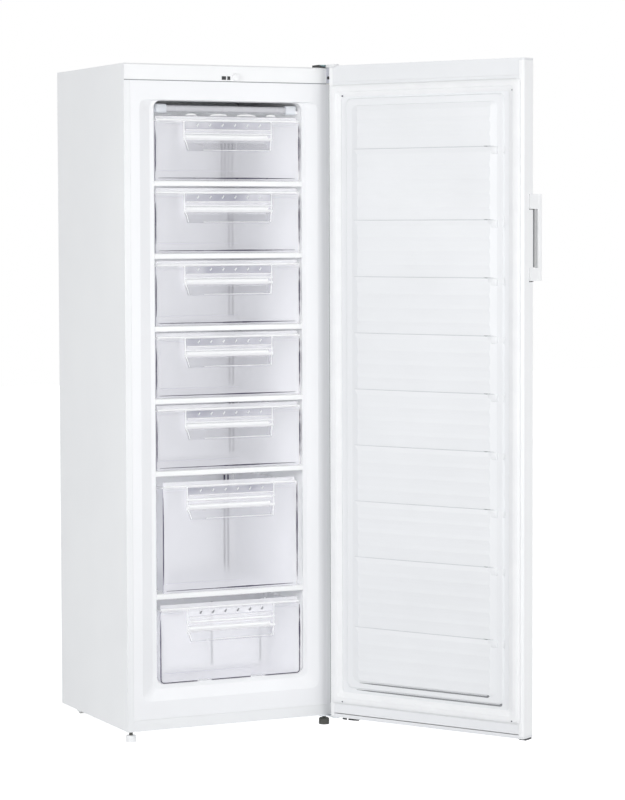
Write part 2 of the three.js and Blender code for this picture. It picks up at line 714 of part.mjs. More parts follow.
const railFront = ALCOVE_FRONT + 12;
const railBack = BACK - 6;
const rollerX = HALF - ROLLER_INSET;
const rollerY = railBack - ROLLER_RADIUS - 8;
const ears = [-rollerX, rollerX].flatMap((x) =>
  [-1, 1].map((side) => {
    const inner = x + side * (ROLLER_WIDTH / 2 + 1);
    const ends = [inner, inner + side * RAIL].sort((a, b) => a - b);
    return box(ends, [rollerY - 12, rollerY + 12], [ROLLER_RADIUS - 8, RAIL_HEIGHT + 1]);
  }),
);
const axleHoles = [-rollerX, rollerX].map((x) =>
  rod("x", [rollerY, ROLLER_RADIUS], AXLE_RADIUS + RUNNING, x - ROLLER_WIDTH, x + ROLLER_WIDTH),
);
const rail = join(
  box([-INSIDE, INSIDE], [railFront, railBack], [RAIL_HEIGHT, RAIL_TOP]),
  box([-INSIDE, INSIDE], [railFront, railFront + RAIL], [RAIL_HEIGHT, RAIL_TOP + RAIL_FLANGE]),
  box([-INSIDE, INSIDE], [railBack - RAIL, railBack], [RAIL_HEIGHT, RAIL_TOP + RAIL_FLANGE]),
  ears,
);
add("compressor_plate", rail.subtract(join(axleHoles)), "zinc");

const compressorY = (railFront + railBack) / 2;
const potBottom = RAIL_TOP + RUBBER_HEIGHT;
const potProfile = [
  [0, 0],
  [COMPRESSOR_RADIUS * 0.62, 0],
  [COMPRESSOR_RADIUS * 0.9, 12],
  [COMPRESSOR_RADIUS, 34],
  [COMPRESSOR_RADIUS, 78],
  [COMPRESSOR_RADIUS * 1.03, 80],
  [COMPRESSOR_RADIUS * 1.03, 84],
  [COMPRESSOR_RADIUS, 86],
  [COMPRESSOR_RADIUS * 0.97, 112],
  [COMPRESSOR_RADIUS * 0.82, 138],
  [COMPRESSOR_RADIUS * 0.5, COMPRESSOR_HEIGHT - 4],
  [0, COMPRESSOR_HEIGHT],
].map(([r, h]) => new THREE.Vector2(r, h));
const potShape = new THREE.LatheGeometry(potProfile, 28).rotateX(Math.PI / 2);
const pot = solid(potShape.translate(COMPRESSOR_X, compressorY, potBottom));
const strapHalf = 95;
const rubbers = [-1, 1].flatMap((sx) =>
  [-1, 1].map((sy) =>
    rod("z", [COMPRESSOR_X + sx * 82, compressorY + sy * 52], 9, RAIL_TOP + FIT, potBottom + 4, 12),
  ),
);
const straps = [-1, 1].map((sy) =>
  box(
    [COMPRESSOR_X - strapHalf, COMPRESSOR_X + strapHalf],
    [compressorY + sy * 52 - 14, compressorY + sy * 52 + 14],
    [potBottom, potBottom + 3],
  ),
);
const terminals = box(
  [COMPRESSOR_X - COMPRESSOR_RADIUS - 34, COMPRESSOR_X - COMPRESSOR_RADIUS + 8],
  [compressorY - 28, compressorY + 28],
  [potBottom + 30, potBottom + 96],
);
add("compressor", join(pot, rubbers, straps, terminals), "darkSteel");

// The tray on the compressor's dome dries off the defrost water.
const trayBottom = potBottom + COMPRESSOR_HEIGHT + FIT;
const trayAt = (at, inset, radius) => ({
  at,
  outline: rounded(
    [COMPRESSOR_X - 62 + inset, COMPRESSOR_X + 62 - inset],
    [compressorY - 50 + inset, compressorY + 50 - inset],
    radius,
  ),
});
const trayOutside = loft("z", [trayAt(trayBottom, 5, 8), trayAt(trayBottom + TRAY_HEIGHT, 0, 10)]);
const trayInside = loft("z", [trayAt(trayBottom + 2, 7, 8), trayAt(trayBottom + TRAY_HEIGHT + 1, 2, 10)]);
add("drip_tray", trayOutside.subtract(trayInside), "black");

const drierX = -HALF / 2;
const drierProfile = [
  [0, 0],
  [DRIER_RADIUS * 0.35, 0],
  [DRIER_RADIUS * 0.35, 12],
  [DRIER_RADIUS, 22],
  [DRIER_RADIUS, DRIER_LENGTH - 22],
  [DRIER_RADIUS * 0.35, DRIER_LENGTH - 12],
  [DRIER_RADIUS * 0.35, DRIER_LENGTH],
  [0, DRIER_LENGTH],
].map(([r, h]) => new THREE.Vector2(r, h));
add(
  "filter_drier",
  solid(
    new THREE.LatheGeometry(drierProfile, 16)
      .rotateZ(-Math.PI / 2)
      .translate(drierX - DRIER_LENGTH / 2, compressorY, RAIL_TOP + FIT + DRIER_RADIUS),
  ),
  "copper",
);

// The mains lead would leave through this gland in the plate's rear flange.
const glandX = -HALF + 60;
const glandZ = RAIL_TOP + RAIL_FLANGE + FIT + GLAND_RADIUS;
add(
  "cord_gland",
  rod("y", [glandX, glandZ], GLAND_RADIUS, railBack - RAIL - 4, railBack + 4, 16).subtract(
    rod("y", [glandX, glandZ], GLAND_RADIUS / 2, railBack - RAIL - 5, railBack + 5, 12),
  ),
  "black",
);

// ---------------------------------------------------------------- feet and rollers

const footX = HALF - FOOT_INSET;
const footSeats = [["foot_left", -footX, FLOOR_GAP], ["foot_right", footX, HINGE_BOTTOM]];
for (const [name, x, seat] of footSeats) {
  const profile = [
    [0, 0],
    [FOOT_RADIUS, 0],
    [FOOT_RADIUS, FOOT_HEIGHT - 3],
    [FOOT_RADIUS - 2, FOOT_HEIGHT],
    [FOOT_NECK, FOOT_HEIGHT],
    [FOOT_NECK, seat - FIT],
    [0, seat - FIT],
  ].map(([r, h]) => new THREE.Vector2(r, h));
  const foot = new THREE.LatheGeometry(profile, 18).rotateX(Math.PI / 2).translate(x, FOOT_RADIUS + 8, 0);
  add(name, solid(foot), "whitePlastic");
}

for (const [name, x] of [["roller_left", -rollerX], ["roller_right", rollerX]]) {
  const axis = [rollerY, ROLLER_RADIUS];
  const tread = rod("x", axis, ROLLER_RADIUS, x - ROLLER_WIDTH / 2, x + ROLLER_WIDTH / 2, 32);
  const reach = ROLLER_WIDTH / 2 + RAIL + 3;
  add(name, join(tread, rod("x", axis, AXLE_RADIUS, x - reach, x + reach)), "black");
}

// ---------------------------------------------------------------- drawers

// The profile of the finger pocket behind the grip plate, seen from the side, grown by a wall.
function pocket(height, grip, wall, half) {
  const bottom = height - grip.bottom - wall;
  const bar = height - grip.bar;
  const top = height - RIM_THICKNESS - 4 + wall;
  const deep = POCKET_DEPTH + wall;
  const side = prism(
    "x",
    [
      [wall ? 0 : -10, bottom],
      [DRAWER_FRONT_WALL + 1, bottom],
      [deep, bottom + 23],
      [deep, top],
      [wall ? 0 : DRAWER_FRONT_WALL, top],
      ...(wall ? [] : [[DRAWER_FRONT_WALL, bar], [-10, bar]]),
    ],
    -half - wall,
    half + wall,
  );
  const front = prism(
    "y",
    [
      [-half - wall, height],
      [-half - wall, bar],
      [-half - wall + POCKET_TAPER, bottom - 0.5],
      [half + wall - POCKET_TAPER, bottom - 0.5],
      [half + wall, bar],
      [half + wall, height],
    ],
    -20,
    POCKET_DEPTH + 20,
  );
  return side.intersect(front);
}

// A drawer with its front in the plane y = 0 and its floor at z = 0.
function drawer({ half, height, depth, corner, grip, channels }) {
  const section = (inset, grow) =>
    rounded([-half + inset - grow, half - inset + grow], [1 - grow, depth - inset + grow], 10 + grow, 3);
  const tub = loft("z", [
    { at: 0, outline: section(DRAWER_DRAFT * 2, 0) },
    { at: height, outline: section(DRAWER_DRAFT, 0) },
  ]);
  const hollow = loft("z", [
    { at: DRAWER_WALL, outline: section(DRAWER_DRAFT * 2, -DRAWER_WALL) },
    { at: height + 1, outline: section(DRAWER_DRAFT, -DRAWER_WALL) },
  ]);
  const panel = prism("y", rounded([-half, half], [0, height], corner, 2), 0, DRAWER_FRONT_WALL);
  const rim = prism("z", rounded([-half, half], [0, depth], 8, 3), height - RIM_THICKNESS, height);
  const ribs = channels
    ? []
    : [...Array(FLOOR_RIBS).keys()].map((i) => {
        const x = (i - (FLOOR_RIBS - 1) / 2) * ((2 * half - 70) / (FLOOR_RIBS - 1));
        return box([x - 1, x + 1], [40, depth - 40], [DRAWER_WALL / 2, DRAWER_WALL + 1.4]);
      });
  const channel = (side, slack, from, heights) => {
    const middle = side * CHANNEL_CENTRE;
    const half = CHANNEL_WIDTH / 2 + slack;
    return box([middle - half, middle + half], from, heights);
  };
  const raisedDepth = [1, depth - 2.5 * DRAWER_DRAFT];
  const raised = channels
    ? [-1, 1].map((side) => channel(side, DRAWER_WALL, raisedDepth, [1, CHANNEL_RISE + DRAWER_WALL]))
    : [];
  const body = join(panel, tub, rim).subtract(hollow);
  const across = GRIP_WIDTH / 2 + 1;
  const bar = rod("x", [DRAWER_FRONT_WALL / 2, height - grip.bar], GRIP_BAR / 2, -across, across, 12);
  const rib = rod("x", [0.5, height - grip.rib], GRIP_RIB / 2, -across, across, 8);
  let made = join(body, pocket(height, grip, DRAWER_WALL, GRIP_WIDTH / 2), ribs, raised);
  made = made.subtract(pocket(height, grip, 0, GRIP_WIDTH / 2));
  made = join(made, bar, rib);
  if (channels) {
    const cuts = [-1, 1].map((side) => channel(side, 0, [-1, depth - 4 * DRAWER_DRAFT], [-1, CHANNEL_RISE]));
    made = made.subtract(join(cuts));
  }
  return made;
}

const shallowDepth = CAVITY_BACK - DRAWER_REAR_GAP - DRAWER_FRONT;
const drawerHalf = CAVITY_HALF - DRAWER_SIDE_GAP;
const bayHeights = [...BAYS].reverse();
FLOORS.forEach((floor, i) => {
  const tall = i === FLOORS.length - 2;
  const bottom = i === FLOORS.length - 1;
  const front = DRAWER_FRONT - (tall ? 8 : 0) - (bottom ? 5 : 0);
  const shape = drawer({
    half: drawerHalf - (tall ? 13 : 0) - (bottom ? 5 : 0),
    height: bayHeights[i] - (tall || bottom ? DEEP_HEADROOM : DRAWER_HEADROOM),
    depth: bottom ? HUMP_FRONT - 8 - front : shallowDepth,
    corner: bottom ? 11 : 3,
    grip: tall || bottom ? DEEP_GRIP : GRIP,
    channels: bottom,
  });
  const mesh = add(`drawer_${i + 1}`, shape, "clear");
  mesh.position.set(0, front, floor + FIT);
});

// ---------------------------------------------------------------- door

// The door's pieces are drawn as if it were shut, in a group that turns about the hinge axis.
const door = new THREE.Group();
const shut = new THREE.Group();
door.position.set(PIN_X, PIN_Y, 0);
shut.position.set(-PIN_X, -PIN_Y, 0);
door.rotation.z = THREE.MathUtils.degToRad(DOOR_OPEN);
door.add(shut);
freezer.add(door);

const doorOutline = (inset) =>
  rounded([-HALF + inset, HALF - inset], [DOOR_OUTER + inset, DOOR_INNER - inset], DOOR_ROUNDING - inset);
const panelBottom = DOOR_BOTTOM + CAP_THICKNESS + FIT;
const panelTop = DOOR_TOP - CAP_THICKNESS - FIT;
const returnEdge = HALF - DOOR_RETURN;
add(
  "door_panel",
  prism("z", doorOutline(0), panelBottom, panelTop)
    .subtract(prism("z", doorOutline(STEEL), panelBottom - 1, panelTop + 1))
    .subtract(box([-returnEdge, returnEdge], [DOOR_INNER - 3, DOOR_INNER + 3], [0, CABINET_HEIGHT + 50])),
  "whiteSteel",
  shut,
);

const linerBack = DOOR_INNER - LINER;
const linerBottom = DOOR_BOTTOM + BOTTOM_BAND + BOTTOM_SEAM;
const linerTop = DOOR_TOP - TOP_BAND - FIT;
const foamInset = STEEL + FIT;
const foamOutline = rounded(
  [-HALF + foamInset, HALF - foamInset],
  [DOOR_OUTER + foamInset, linerBack - FIT],
  DOOR_ROUNDING - foamInset,
);
add("door_foam", prism("z", foamOutline, panelBottom + PIN_LENGTH + 6, linerTop - 5), "foam", shut);

// The door's liner is a sheet with two raised steps: a rounded plateau and, on it, the panelled field.
const fieldBottom = CAVITY_FLOOR - MOUTH_DROP + PLATEAU_BELOW_MOUTH;
const fieldTop = MOUTH_TOP + PLATEAU_BELOW_MOUTH;
const plateauHalf = HALF - PLATEAU_SIDE;
const panelsBottom = fieldBottom + FIELD_INSET;
const panelsTop = fieldTop - FIELD_INSET;

// The field from bottom to top as [height above the land, z]: panels with gentle ribs, each with its top
// edge sunk under the next one's bottom edge.
function panelProfile() {
  const unit = (panelsTop - panelsBottom) / PANEL_SHARES.reduce((a, b) => a + b);
  const points = [];
  let start = panelsBottom;
  for (const share of PANEL_SHARES) {
    const end = start + share * unit;
    const ribs = Math.floor((end - start - STEP_SLOPE) / RIB_PITCH);
    const first = (start + end - STEP_SLOPE - (ribs - 1) * RIB_PITCH) / 2;
    points.push([FIELD_RISE, start + 0.01]);
    for (let i = 0; i < ribs; i++) {
      const middle = first + i * RIB_PITCH;
      const reach = RIB_PITCH * 0.3;
      points.push([FIELD_RISE, middle - reach]);
      points.push([FIELD_RISE + RIB_RISE, middle]);
      points.push([FIELD_RISE, middle + reach]);
    }
    points.push([FIELD_RISE, end - STEP_SLOPE], [FIELD_RISE - STEP_DEPTH, end]);
    start = end;
  }
  return points;
}

const fieldProfile = [
  [linerBack, panelsBottom],
  ...panelProfile().map(([rise, z]) => [DOOR_INNER + rise, z]),
  [linerBack, panelsTop],
];
const fieldAt = (at, inset) => {
  const half = plateauHalf - FIELD_INSET - inset * FIELD_SIDE_SLOPE;
  const heights = [panelsBottom + inset * FIELD_SLOPE, panelsTop - inset * FIELD_SLOPE];
  return { at, outline: rounded([-half, half], heights, PLATEAU_CORNER) };
};
const plateauAt = (at, inset) => ({
  at,
  outline: rounded(
    [-plateauHalf + inset, plateauHalf - inset],
    [fieldBottom + inset, fieldTop - inset],
    PLATEAU_CORNER,
  ),
});
const linerHalf = returnEdge - FIT;
add(
  "door_liner",
  join(
    box([-linerHalf, linerHalf], [linerBack, DOOR_INNER], [linerBottom, linerTop]),
    loft("y", [
      plateauAt(linerBack, 0),
      plateauAt(DOOR_INNER, 0),
      plateauAt(DOOR_INNER + PLATEAU_RISE, PLATEAU_SLOPE),
    ]),
    prism("x", fieldProfile, -plateauHalf, plateauHalf).intersect(
      loft("y", [
        fieldAt(linerBack, 0),
        fieldAt(DOOR_INNER + PLATEAU_RISE, 0),
        fieldAt(DOOR_INNER + FIELD_RISE + RIB_RISE, 1),
      ]),
    ),
  ),
  "liner",
  shut,
);

// The gasket's hollow section, swept round the door: [inwards from its outer edge, out from the liner].
const gasketHeight = DOOR_GAP - GASKET_GAP;
const gasketSection = [
  [0, FIT],
  [0, gasketHeight * 0.45],
  [GASKET_WIDTH * 0.12, gasketHeight * 0.85],
  [GASKET_WIDTH * 0.3, gasketHeight],
  [GASKET_WIDTH * 0.55, gasketHeight],
  [GASKET_WIDTH * 0.66, gasketHeight * 0.7],
  [GASKET_WIDTH * 0.8, gasketHeight * 0.55],
  [GASKET_WIDTH, gasketHeight * 0.2],
  [GASKET_WIDTH, FIT],
];
const gasketOuter = HALF - GASKET_EDGE;
const gasketBottom = fieldBottom - GASKET_WIDTH - 12;
const gasketTop = FASCIA_BOTTOM - FIT - 6;
function gasketRing() {
  const rings = gasketSection.map(([inward, out]) => {
    const half = gasketOuter - inward;
    const outline = rounded([-half, half], [gasketBottom + inward, gasketTop - inward], 8, 2);
    return outline.map(([x, z]) => [x, DOOR_INNER + out, z]);
  });
  const count = rings[0].length;
  const index = [];
  rings.forEach((ring, r) => {
    const next = (r + 1) % rings.length;
    for (let i = 0; i < count; i++) {
      const [a, b] = [r * count + i, r * count + ((i + 1) % count)];
      const [c, d] = [next * count + ((i + 1) % count), next * count + i];
      index.push(a, b, c, a, c, d);
    }
  });
  const geometry = new THREE.BufferGeometry();
  geometry.setAttribute("position", new THREE.Float32BufferAttribute(rings.flat(2), 3));
  geometry.setIndex(index);
  return outward(geometry);
}
add("door_gasket", gasketRing(), "gasket", shut);

// Each end cap closes the steel panel and holds the bush of one hinge pin.
const boss = (from, to) => rod("z", [PIN_X, PIN_Y], BOSS_RADIUS, from, to);
const bore = (from, to) => rod("z", [PIN_X, PIN_Y], PIN_RADIUS + RUNNING, from, to);
const topCap = join(
  prism("z", doorOutline(0), DOOR_TOP - CAP_THICKNESS, DOOR_TOP),
  box([-linerHalf, linerHalf], [DOOR_INNER - 3, DOOR_INNER], [DOOR_TOP - TOP_BAND, DOOR_TOP - 1]),
  boss(DOOR_TOP - CAP_THICKNESS - PIN_LENGTH - 4, DOOR_TOP - 1),
);
const notch = box(
  [HALF - HINGE_NOTCH, HALF + 1],
  [DOOR_OUTER - 1, DOOR_INNER + 1],
  [HINGE_TOP - 1, DOOR_TOP + 1],
);
add(
  "door_top_cap",
  topCap.subtract(notch).subtract(bore(DOOR_TOP - PIN_LENGTH - 6, DOOR_TOP + 1)),
  "whitePlastic",
  shut,
);
const bottomCap = join(
  prism("z", doorOutline(0), DOOR_BOTTOM, DOOR_BOTTOM + CAP_THICKNESS),
  box([-linerHalf, linerHalf], [DOOR_INNER - 3, DOOR_INNER], [DOOR_BOTTOM + 1, DOOR_BOTTOM + BOTTOM_BAND]),
  boss(DOOR_BOTTOM + 1, DOOR_BOTTOM + PIN_LENGTH + 4),
);
add(
  "door_bottom_cap",
  bottomCap.subtract(bore(DOOR_BOTTOM - 1, DOOR_BOTTOM + PIN_LENGTH + 2)),
  "whitePlastic",
  shut,
);

// Under the door: a stop beside the hinge and the plug of the unused hinge at the free end.
const underDoor = [DOOR_BOTTOM - FIT - 5, DOOR_BOTTOM - FIT];
const stop = box([HALF - 82, HALF - 54], [DOOR_OUTER + 14, DOOR_INNER - 18], underDoor);
add("door_stop", stop, "black", shut);
const bushProfile = [
  [1 - HALF, underDoor[0]],
  [18 - HALF, underDoor[0]],
  [34 - HALF, underDoor[1]],
  [1 - HALF, underDoor[1]],
];
add("reversing_bush", prism("y", bushProfile, DOOR_OUTER + 8, DOOR_INNER - 14), "black", shut);

// The handle's bar stands off the door's free edge on two mounts that wrap round it.
const barLeft = -HALF - MOUNT_PLATE;
const barFront = DOOR_OUTER - HANDLE_REACH;
const barRear = barFront + HANDLE_BAR_DEPTH;
const handleTop = HANDLE_BOTTOM + HANDLE_LENGTH;
add(
  "handle_grip",
  prism("z", rounded([barLeft, barLeft + HANDLE_WIDTH], [barFront, barRear], 4.5), HANDLE_BOTTOM, handleTop),
  "whitePlastic",
  shut,
);
for (const [name, from, to] of [
  ["handle_mount_upper", handleTop - MOUNT_UPPER, handleTop],
  ["handle_mount_lower", HANDLE_BOTTOM, HANDLE_BOTTOM + MOUNT_LOWER],
]) {
  const arm = box([barLeft, barLeft + HANDLE_WIDTH], [barRear + FIT, DOOR_OUTER - FIT], [from, to]);
  const plate = box([barLeft, -HALF - FIT], [DOOR_OUTER - 1, DOOR_OUTER + MOUNT_WRAP], [from, to]);
  add(name, join(arm, plate), "whitePlastic", shut);
}

// ---------------------------------------------------------------- origin

// The origin is the middle of the whole footprint, with the door open, on the floor.
freezer.updateMatrixWorld(true);
const bounds = new THREE.Box3().setFromObject(freezer, true);
const middle = bounds.getCenter(new THREE.Vector3());
freezer.position.set(-middle.x, -middle.y, -bounds.min.z);
freezer.updateMatrixWorld(true);

export default freezer;
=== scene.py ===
"""An upright freezer with its door open: materials, fine pieces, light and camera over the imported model."""

import math

import bmesh
import bpy
from mathutils import Matrix, Vector


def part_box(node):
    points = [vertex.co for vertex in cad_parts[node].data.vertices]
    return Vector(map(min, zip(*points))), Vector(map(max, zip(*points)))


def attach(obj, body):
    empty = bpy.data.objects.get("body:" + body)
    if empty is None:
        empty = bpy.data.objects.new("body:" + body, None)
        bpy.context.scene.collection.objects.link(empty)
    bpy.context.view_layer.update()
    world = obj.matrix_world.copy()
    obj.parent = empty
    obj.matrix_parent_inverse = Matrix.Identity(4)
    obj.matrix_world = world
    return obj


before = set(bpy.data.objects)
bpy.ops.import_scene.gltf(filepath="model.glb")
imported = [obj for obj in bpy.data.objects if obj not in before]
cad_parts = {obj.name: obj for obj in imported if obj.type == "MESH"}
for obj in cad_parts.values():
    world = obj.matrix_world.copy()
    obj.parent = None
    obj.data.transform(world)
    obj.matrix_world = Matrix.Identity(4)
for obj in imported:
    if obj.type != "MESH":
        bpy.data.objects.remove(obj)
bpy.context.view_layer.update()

# ---------------------------------------------------------------- places

# The cabinet's own axes: its middle, its front frame and the floor.
low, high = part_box("side_panel_left")[0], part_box("side_panel_right")[1]
MIDDLE = (low[0] + high[0]) / 2
HALF = (high[0] - low[0]) / 2
FRONT = low[1]

# The hinge axis, in from the cabinet's right side and out from its frame, and how far the door is open.
PIN_IN, PIN_OUT = 0.006, 0.031
PIN = Vector((MIDDLE + HALF - PIN_IN, FRONT - PIN_OUT, 0))
OPEN = math.radians(120)
DOOR = Matrix.Translation(PIN) @ Matrix.Rotation(OPEN, 4, "Z") @ Matrix.Translation(-PIN)


def mm(*values):
    """Millimetres as metres."""
    return tuple(v / 1000 for v in values)


def cabinet(x, y, z):
    """A point in metres from the cabinet's middle, its front frame and the floor."""
    return Vector((MIDDLE + x, FRONT + y, z))


def door(x, y, z):
    """A point on the door, given in millimetres as if it were shut."""
    return DOOR @ cabinet(*mm(x, y, z))


# ---------------------------------------------------------------- kinds of material

# The values between which most of a noise lies.
NOISE_LOW, NOISE_HIGH = 0.3, 0.7


class Nodes:
    """A material's node tree with its Principled shader."""

    def __init__(self, name, color, rough, metal=0.0):
        self.material = bpy.data.materials.new(name)
        self.material.use_nodes = True
        self.tree = self.material.node_tree
        self.shader = self.tree.nodes["Principled BSDF"]
        self.set("Base Color", (*color, 1))
        self.set("Roughness", rough)
        self.set("Metallic", metal)
        self.place = self.add("ShaderNodeTexCoord").outputs["Object"]

    def set(self, socket, value):
        self.shader.inputs[socket].default_value = value

    def add(self, kind, **values):
        node = self.tree.nodes.new(kind)
        for key, value in values.items():
            setattr(node, key, value)
        return node

    def link(self, a, b):
        self.tree.links.new(a, b)

    def noise(self, scale, detail=2.0, stretch=(1, 1, 1)):
        mapping = self.add("ShaderNodeMapping")
        mapping.inputs["Scale"].default_value = stretch
        self.link(self.place, mapping.inputs["Vector"])
        node = self.add("ShaderNodeTexNoise")
        node.inputs["Scale"].default_value = scale
        node.inputs["Detail"].default_value = detail
        self.link(mapping.outputs["Vector"], node.inputs["Vector"])
        return node.outputs["Fac"]

    def ramp(self, value, first, last):
        """A ramp between two stops, each a position and a colour."""
        node = self.add("ShaderNodeValToRGB")
        for i, (at, color) in enumerate((first, last)):
            stop = node.color_ramp.elements[i]
            stop.position = at
            stop.color = (*color, 1)
        self.link(value, node.inputs["Fac"])
        return node.outputs["Color"]

    def tint(self, value, dark, light):
        """Colours the surface from dark to light with the value."""
        color = self.ramp(value, (NOISE_LOW, dark), (NOISE_HIGH, light))
        self.link(color, self.shader.inputs["Base Color"])

    def shine(self, value, least, most):
        """Roughens the surface from least to most with the value."""
        gray = self.ramp(value, (NOISE_LOW, (least,) * 3), (NOISE_HIGH, (most,) * 3))
        self.link(gray, self.shader.inputs["Roughness"])

    def bump(self, height, distance, strength):
        node = self.add("ShaderNodeBump")
        node.inputs["Distance"].default_value = distance
        node.inputs["Strength"].default_value = strength
        self.link(height, node.inputs["Height"])
        self.link(node.outputs["Normal"], self.shader.inputs["Normal"])

    def lit_through(self, alpha):
        """The same cover, but light on its way to what lies behind passes freely, as in clear plastic."""
        path = self.add("ShaderNodeLightPath")
        lighting = self.add("ShaderNodeMath", operation="MAXIMUM")
        self.link(path.outputs["Is Shadow Ray"], lighting.inputs[0])
        self.link(path.outputs["Is Diffuse Ray"], lighting.inputs[1])
        share = self.add("ShaderNodeMath", operation="SUBTRACT")
        share.inputs[0].default_value = 1.0
        self.link(lighting.outputs["Value"], share.inputs[1])
        cover = self.add("ShaderNodeMath", operation="MULTIPLY")
        self.link(alpha, cover.inputs[0])
        self.link(share.outputs["Value"], cover.inputs[1])
        return cover.outputs["Value"]


def enamel(name, dark, light):
    """White enamel over steel: a faint orange peel and soft changes of gloss."""
    m = Nodes(name, light, 0.35)
    m.tint(m.noise(3.0), dark, light)
    m.shine(m.noise(14.0), 0.30, 0.40)
    m.bump(m.noise(420.0, 3.0), 0.00003, 0.6)
    return m.material


def plastic(name, color, rough=0.35):
    """Moulded plastic: a slight unevenness of colour, gloss and surface."""
    m = Nodes(name, color, rough)
    dark = tuple(c * 0.975 for c in color)
    m.tint(m.noise(6.0), dark, color)
    m.shine(m.noise(25.0), rough - 0.06, rough + 0.06)
    m.bump(m.noise(300.0), 0.00002, 0.5)
    return m.material


def vacuum_formed(name, dark, light):
    """A liner's sheet, with the soft waviness of vacuum forming."""
    m = Nodes(name, light, 0.37)
    m.tint(m.noise(4.0), dark, light)
    m.shine(m.noise(9.0), 0.34, 0.40)
    m.bump(m.noise(300.0), 0.00003, 0.4)
    return m.material


def metal(name, color, rough, scale=200.0):
    """Bare or plated metal, clouded a little in colour and gloss."""
    m = Nodes(name, color, rough, 1.0)
    m.tint(m.noise(12.0, 4.0), tuple(c * 0.85 for c in color), color)
    m.shine(m.noise(scale, 3.0), rough - 0.08, rough + 0.1)
    m.bump(m.noise(scale, 3.0), 0.00003, 0.5)
    return m.material


def rubber():
    """The gasket's soft white vinyl."""
    m = Nodes("gasket_rubber", (0.93, 0.935, 0.945), 0.6)
    m.tint(m.noise(20.0), (0.91, 0.915, 0.925), (0.945, 0.95, 0.955))
    m.bump(m.noise(500.0), 0.00003, 0.6)
    return m.material


def foam():
    """Rigid insulation, yellow and pitted."""
    m = Nodes("rigid_foam", (0.87, 0.80, 0.58), 0.95)
    m.tint(m.noise(40.0, 6.0), (0.80, 0.72, 0.49), (0.90, 0.84, 0.63))
    m.bump(m.noise(300.0, 6.0), 0.0006, 1.0)
    return m.material


def painted_aluminium():
    """Evaporator plate: pale lacquer over rolled aluminium, with faint lines along the rolling."""
    m = Nodes("lacquered_aluminium", (0.92, 0.925, 0.935), 0.4, 0.1)
    m.tint(m.noise(40.0, 3.0, (1, 20, 1)), (0.94, 0.945, 0.955), (0.965, 0.97, 0.975))
    m.bump(m.noise(200.0), 0.00003, 0.4)
    return m.material


def clear(name, face_on, edge_on, least, most):
    """Clear polystyrene, which covers least of what is behind it face on and most along a wall."""
    m = Nodes(name, face_on, 0.06)
    m.shine(m.noise(30.0), 0.04, 0.12)
    edge = m.add("ShaderNodeLayerWeight")
    edge.inputs["Blend"].default_value = 0.35
    shade = m.ramp(edge.outputs["Facing"], (0.35, (least,) * 3), (0.95, (most,) * 3))
    m.link(m.lit_through(shade), m.shader.inputs["Alpha"])
    m.tint(edge.outputs["Facing"], face_on, edge_on)
    return m.material


def shaded_strip():
    """The strip inside a grip: a bluish painted shade, as the recess looks through clear plastic, uneven
    along its length.
    """
    m = Nodes("clear_styrene_strip_painted_shade", (0.70, 0.71, 0.80), 0.15)
    m.tint(m.noise(11.0, 2.0, (1, 1, 0.2)), (0.40, 0.40, 0.48), (0.74, 0.74, 0.78))
    m.set("Alpha", 0.78)
    return m.material


# ---------------------------------------------------------------- materials

ENAMEL = enamel("enamel", (0.865, 0.875, 0.885), (0.895, 0.905, 0.912))
# A lighter copy of the enamel for the door: painted light, making up for light its edge and face lack.
LIGHTENED_DOOR_ENAMEL = enamel("door_enamel_painted_light", (0.935, 0.94, 0.945), (0.95, 0.955, 0.96))

# The cabinet liner's sheet in lit and shaded copies: the inside lighter, painting in light the deep cavity
# lacks, the mouth darker.
LIGHTENED_LINER = vacuum_formed("cabinet_liner_painted_light", (0.95, 0.955, 0.97), (0.97, 0.975, 0.985))
SHADED_MOUTH = vacuum_formed("cabinet_mouth_painted_shade", (0.905, 0.91, 0.925), (0.925, 0.93, 0.945))
DOOR_LINER = vacuum_formed("door_liner_sheet", (0.85, 0.86, 0.875), (0.88, 0.89, 0.905))

WHITE = plastic("white_abs", (0.945, 0.95, 0.955))
CAP = plastic("cap_abs", (0.865, 0.875, 0.89))
# A lighter copy of the white plastic for the handle: painted light, making up for light the handle lacks.
LIGHTENED_HANDLE = plastic("handle_abs_painted_light", (0.975, 0.98, 0.985))
# The evaporator's white front bar is coloured gray: painted shade for the shaded lower half of its round
# face.
SHADED_BAR = plastic("bar_plastic_painted_shade", (0.54, 0.54, 0.57), 0.25)
ROLLER = plastic("roller_nylon", (0.72, 0.72, 0.71), 0.5)
# A soft gray for the painted shadow lines under the door liner's panels.
STEP_SHADOW = plastic("painted_step_shadow_gray", (0.68, 0.695, 0.715), 0.6)
# A dark gray for real seams and print, and for painted shadow lines in gaps and along steps.
SEAM_AND_SHADOW = plastic("seam_and_painted_shadow_gray", (0.26, 0.27, 0.28), 0.6)
DARK_FOOT = plastic("foot_rubber", (0.085, 0.085, 0.075), 0.6)
# Dark violet for the screws, and the painted shade of the drawers' dark plastic edges.
VIOLET = plastic("dark_violet_screws_and_painted_edge_shade", (0.035, 0.028, 0.065), 0.3)
BLACK = plastic("black_plastic", (0.02, 0.021, 0.023), 0.5)
SMOKED = plastic("smoked_lens", (0.015, 0.016, 0.018), 0.12)
POT = plastic("black_enamel", (0.012, 0.012, 0.013), 0.35)

ZINC = metal("zinc_plate", (0.55, 0.58, 0.60), 0.32)
PALE_ZINC = metal("pale_zinc", (0.86, 0.87, 0.92), 0.4)
HINGE = metal("dark_zinc", (0.10, 0.14, 0.15), 0.35)
COPPER = metal("copper_tube", (0.80, 0.42, 0.26), 0.3)
GALVANISED = metal("galvanised_sheet", (0.60, 0.62, 0.63), 0.45, scale=30.0)

ALUMINIUM = painted_aluminium()
RUBBER = rubber()
FOAM = foam()

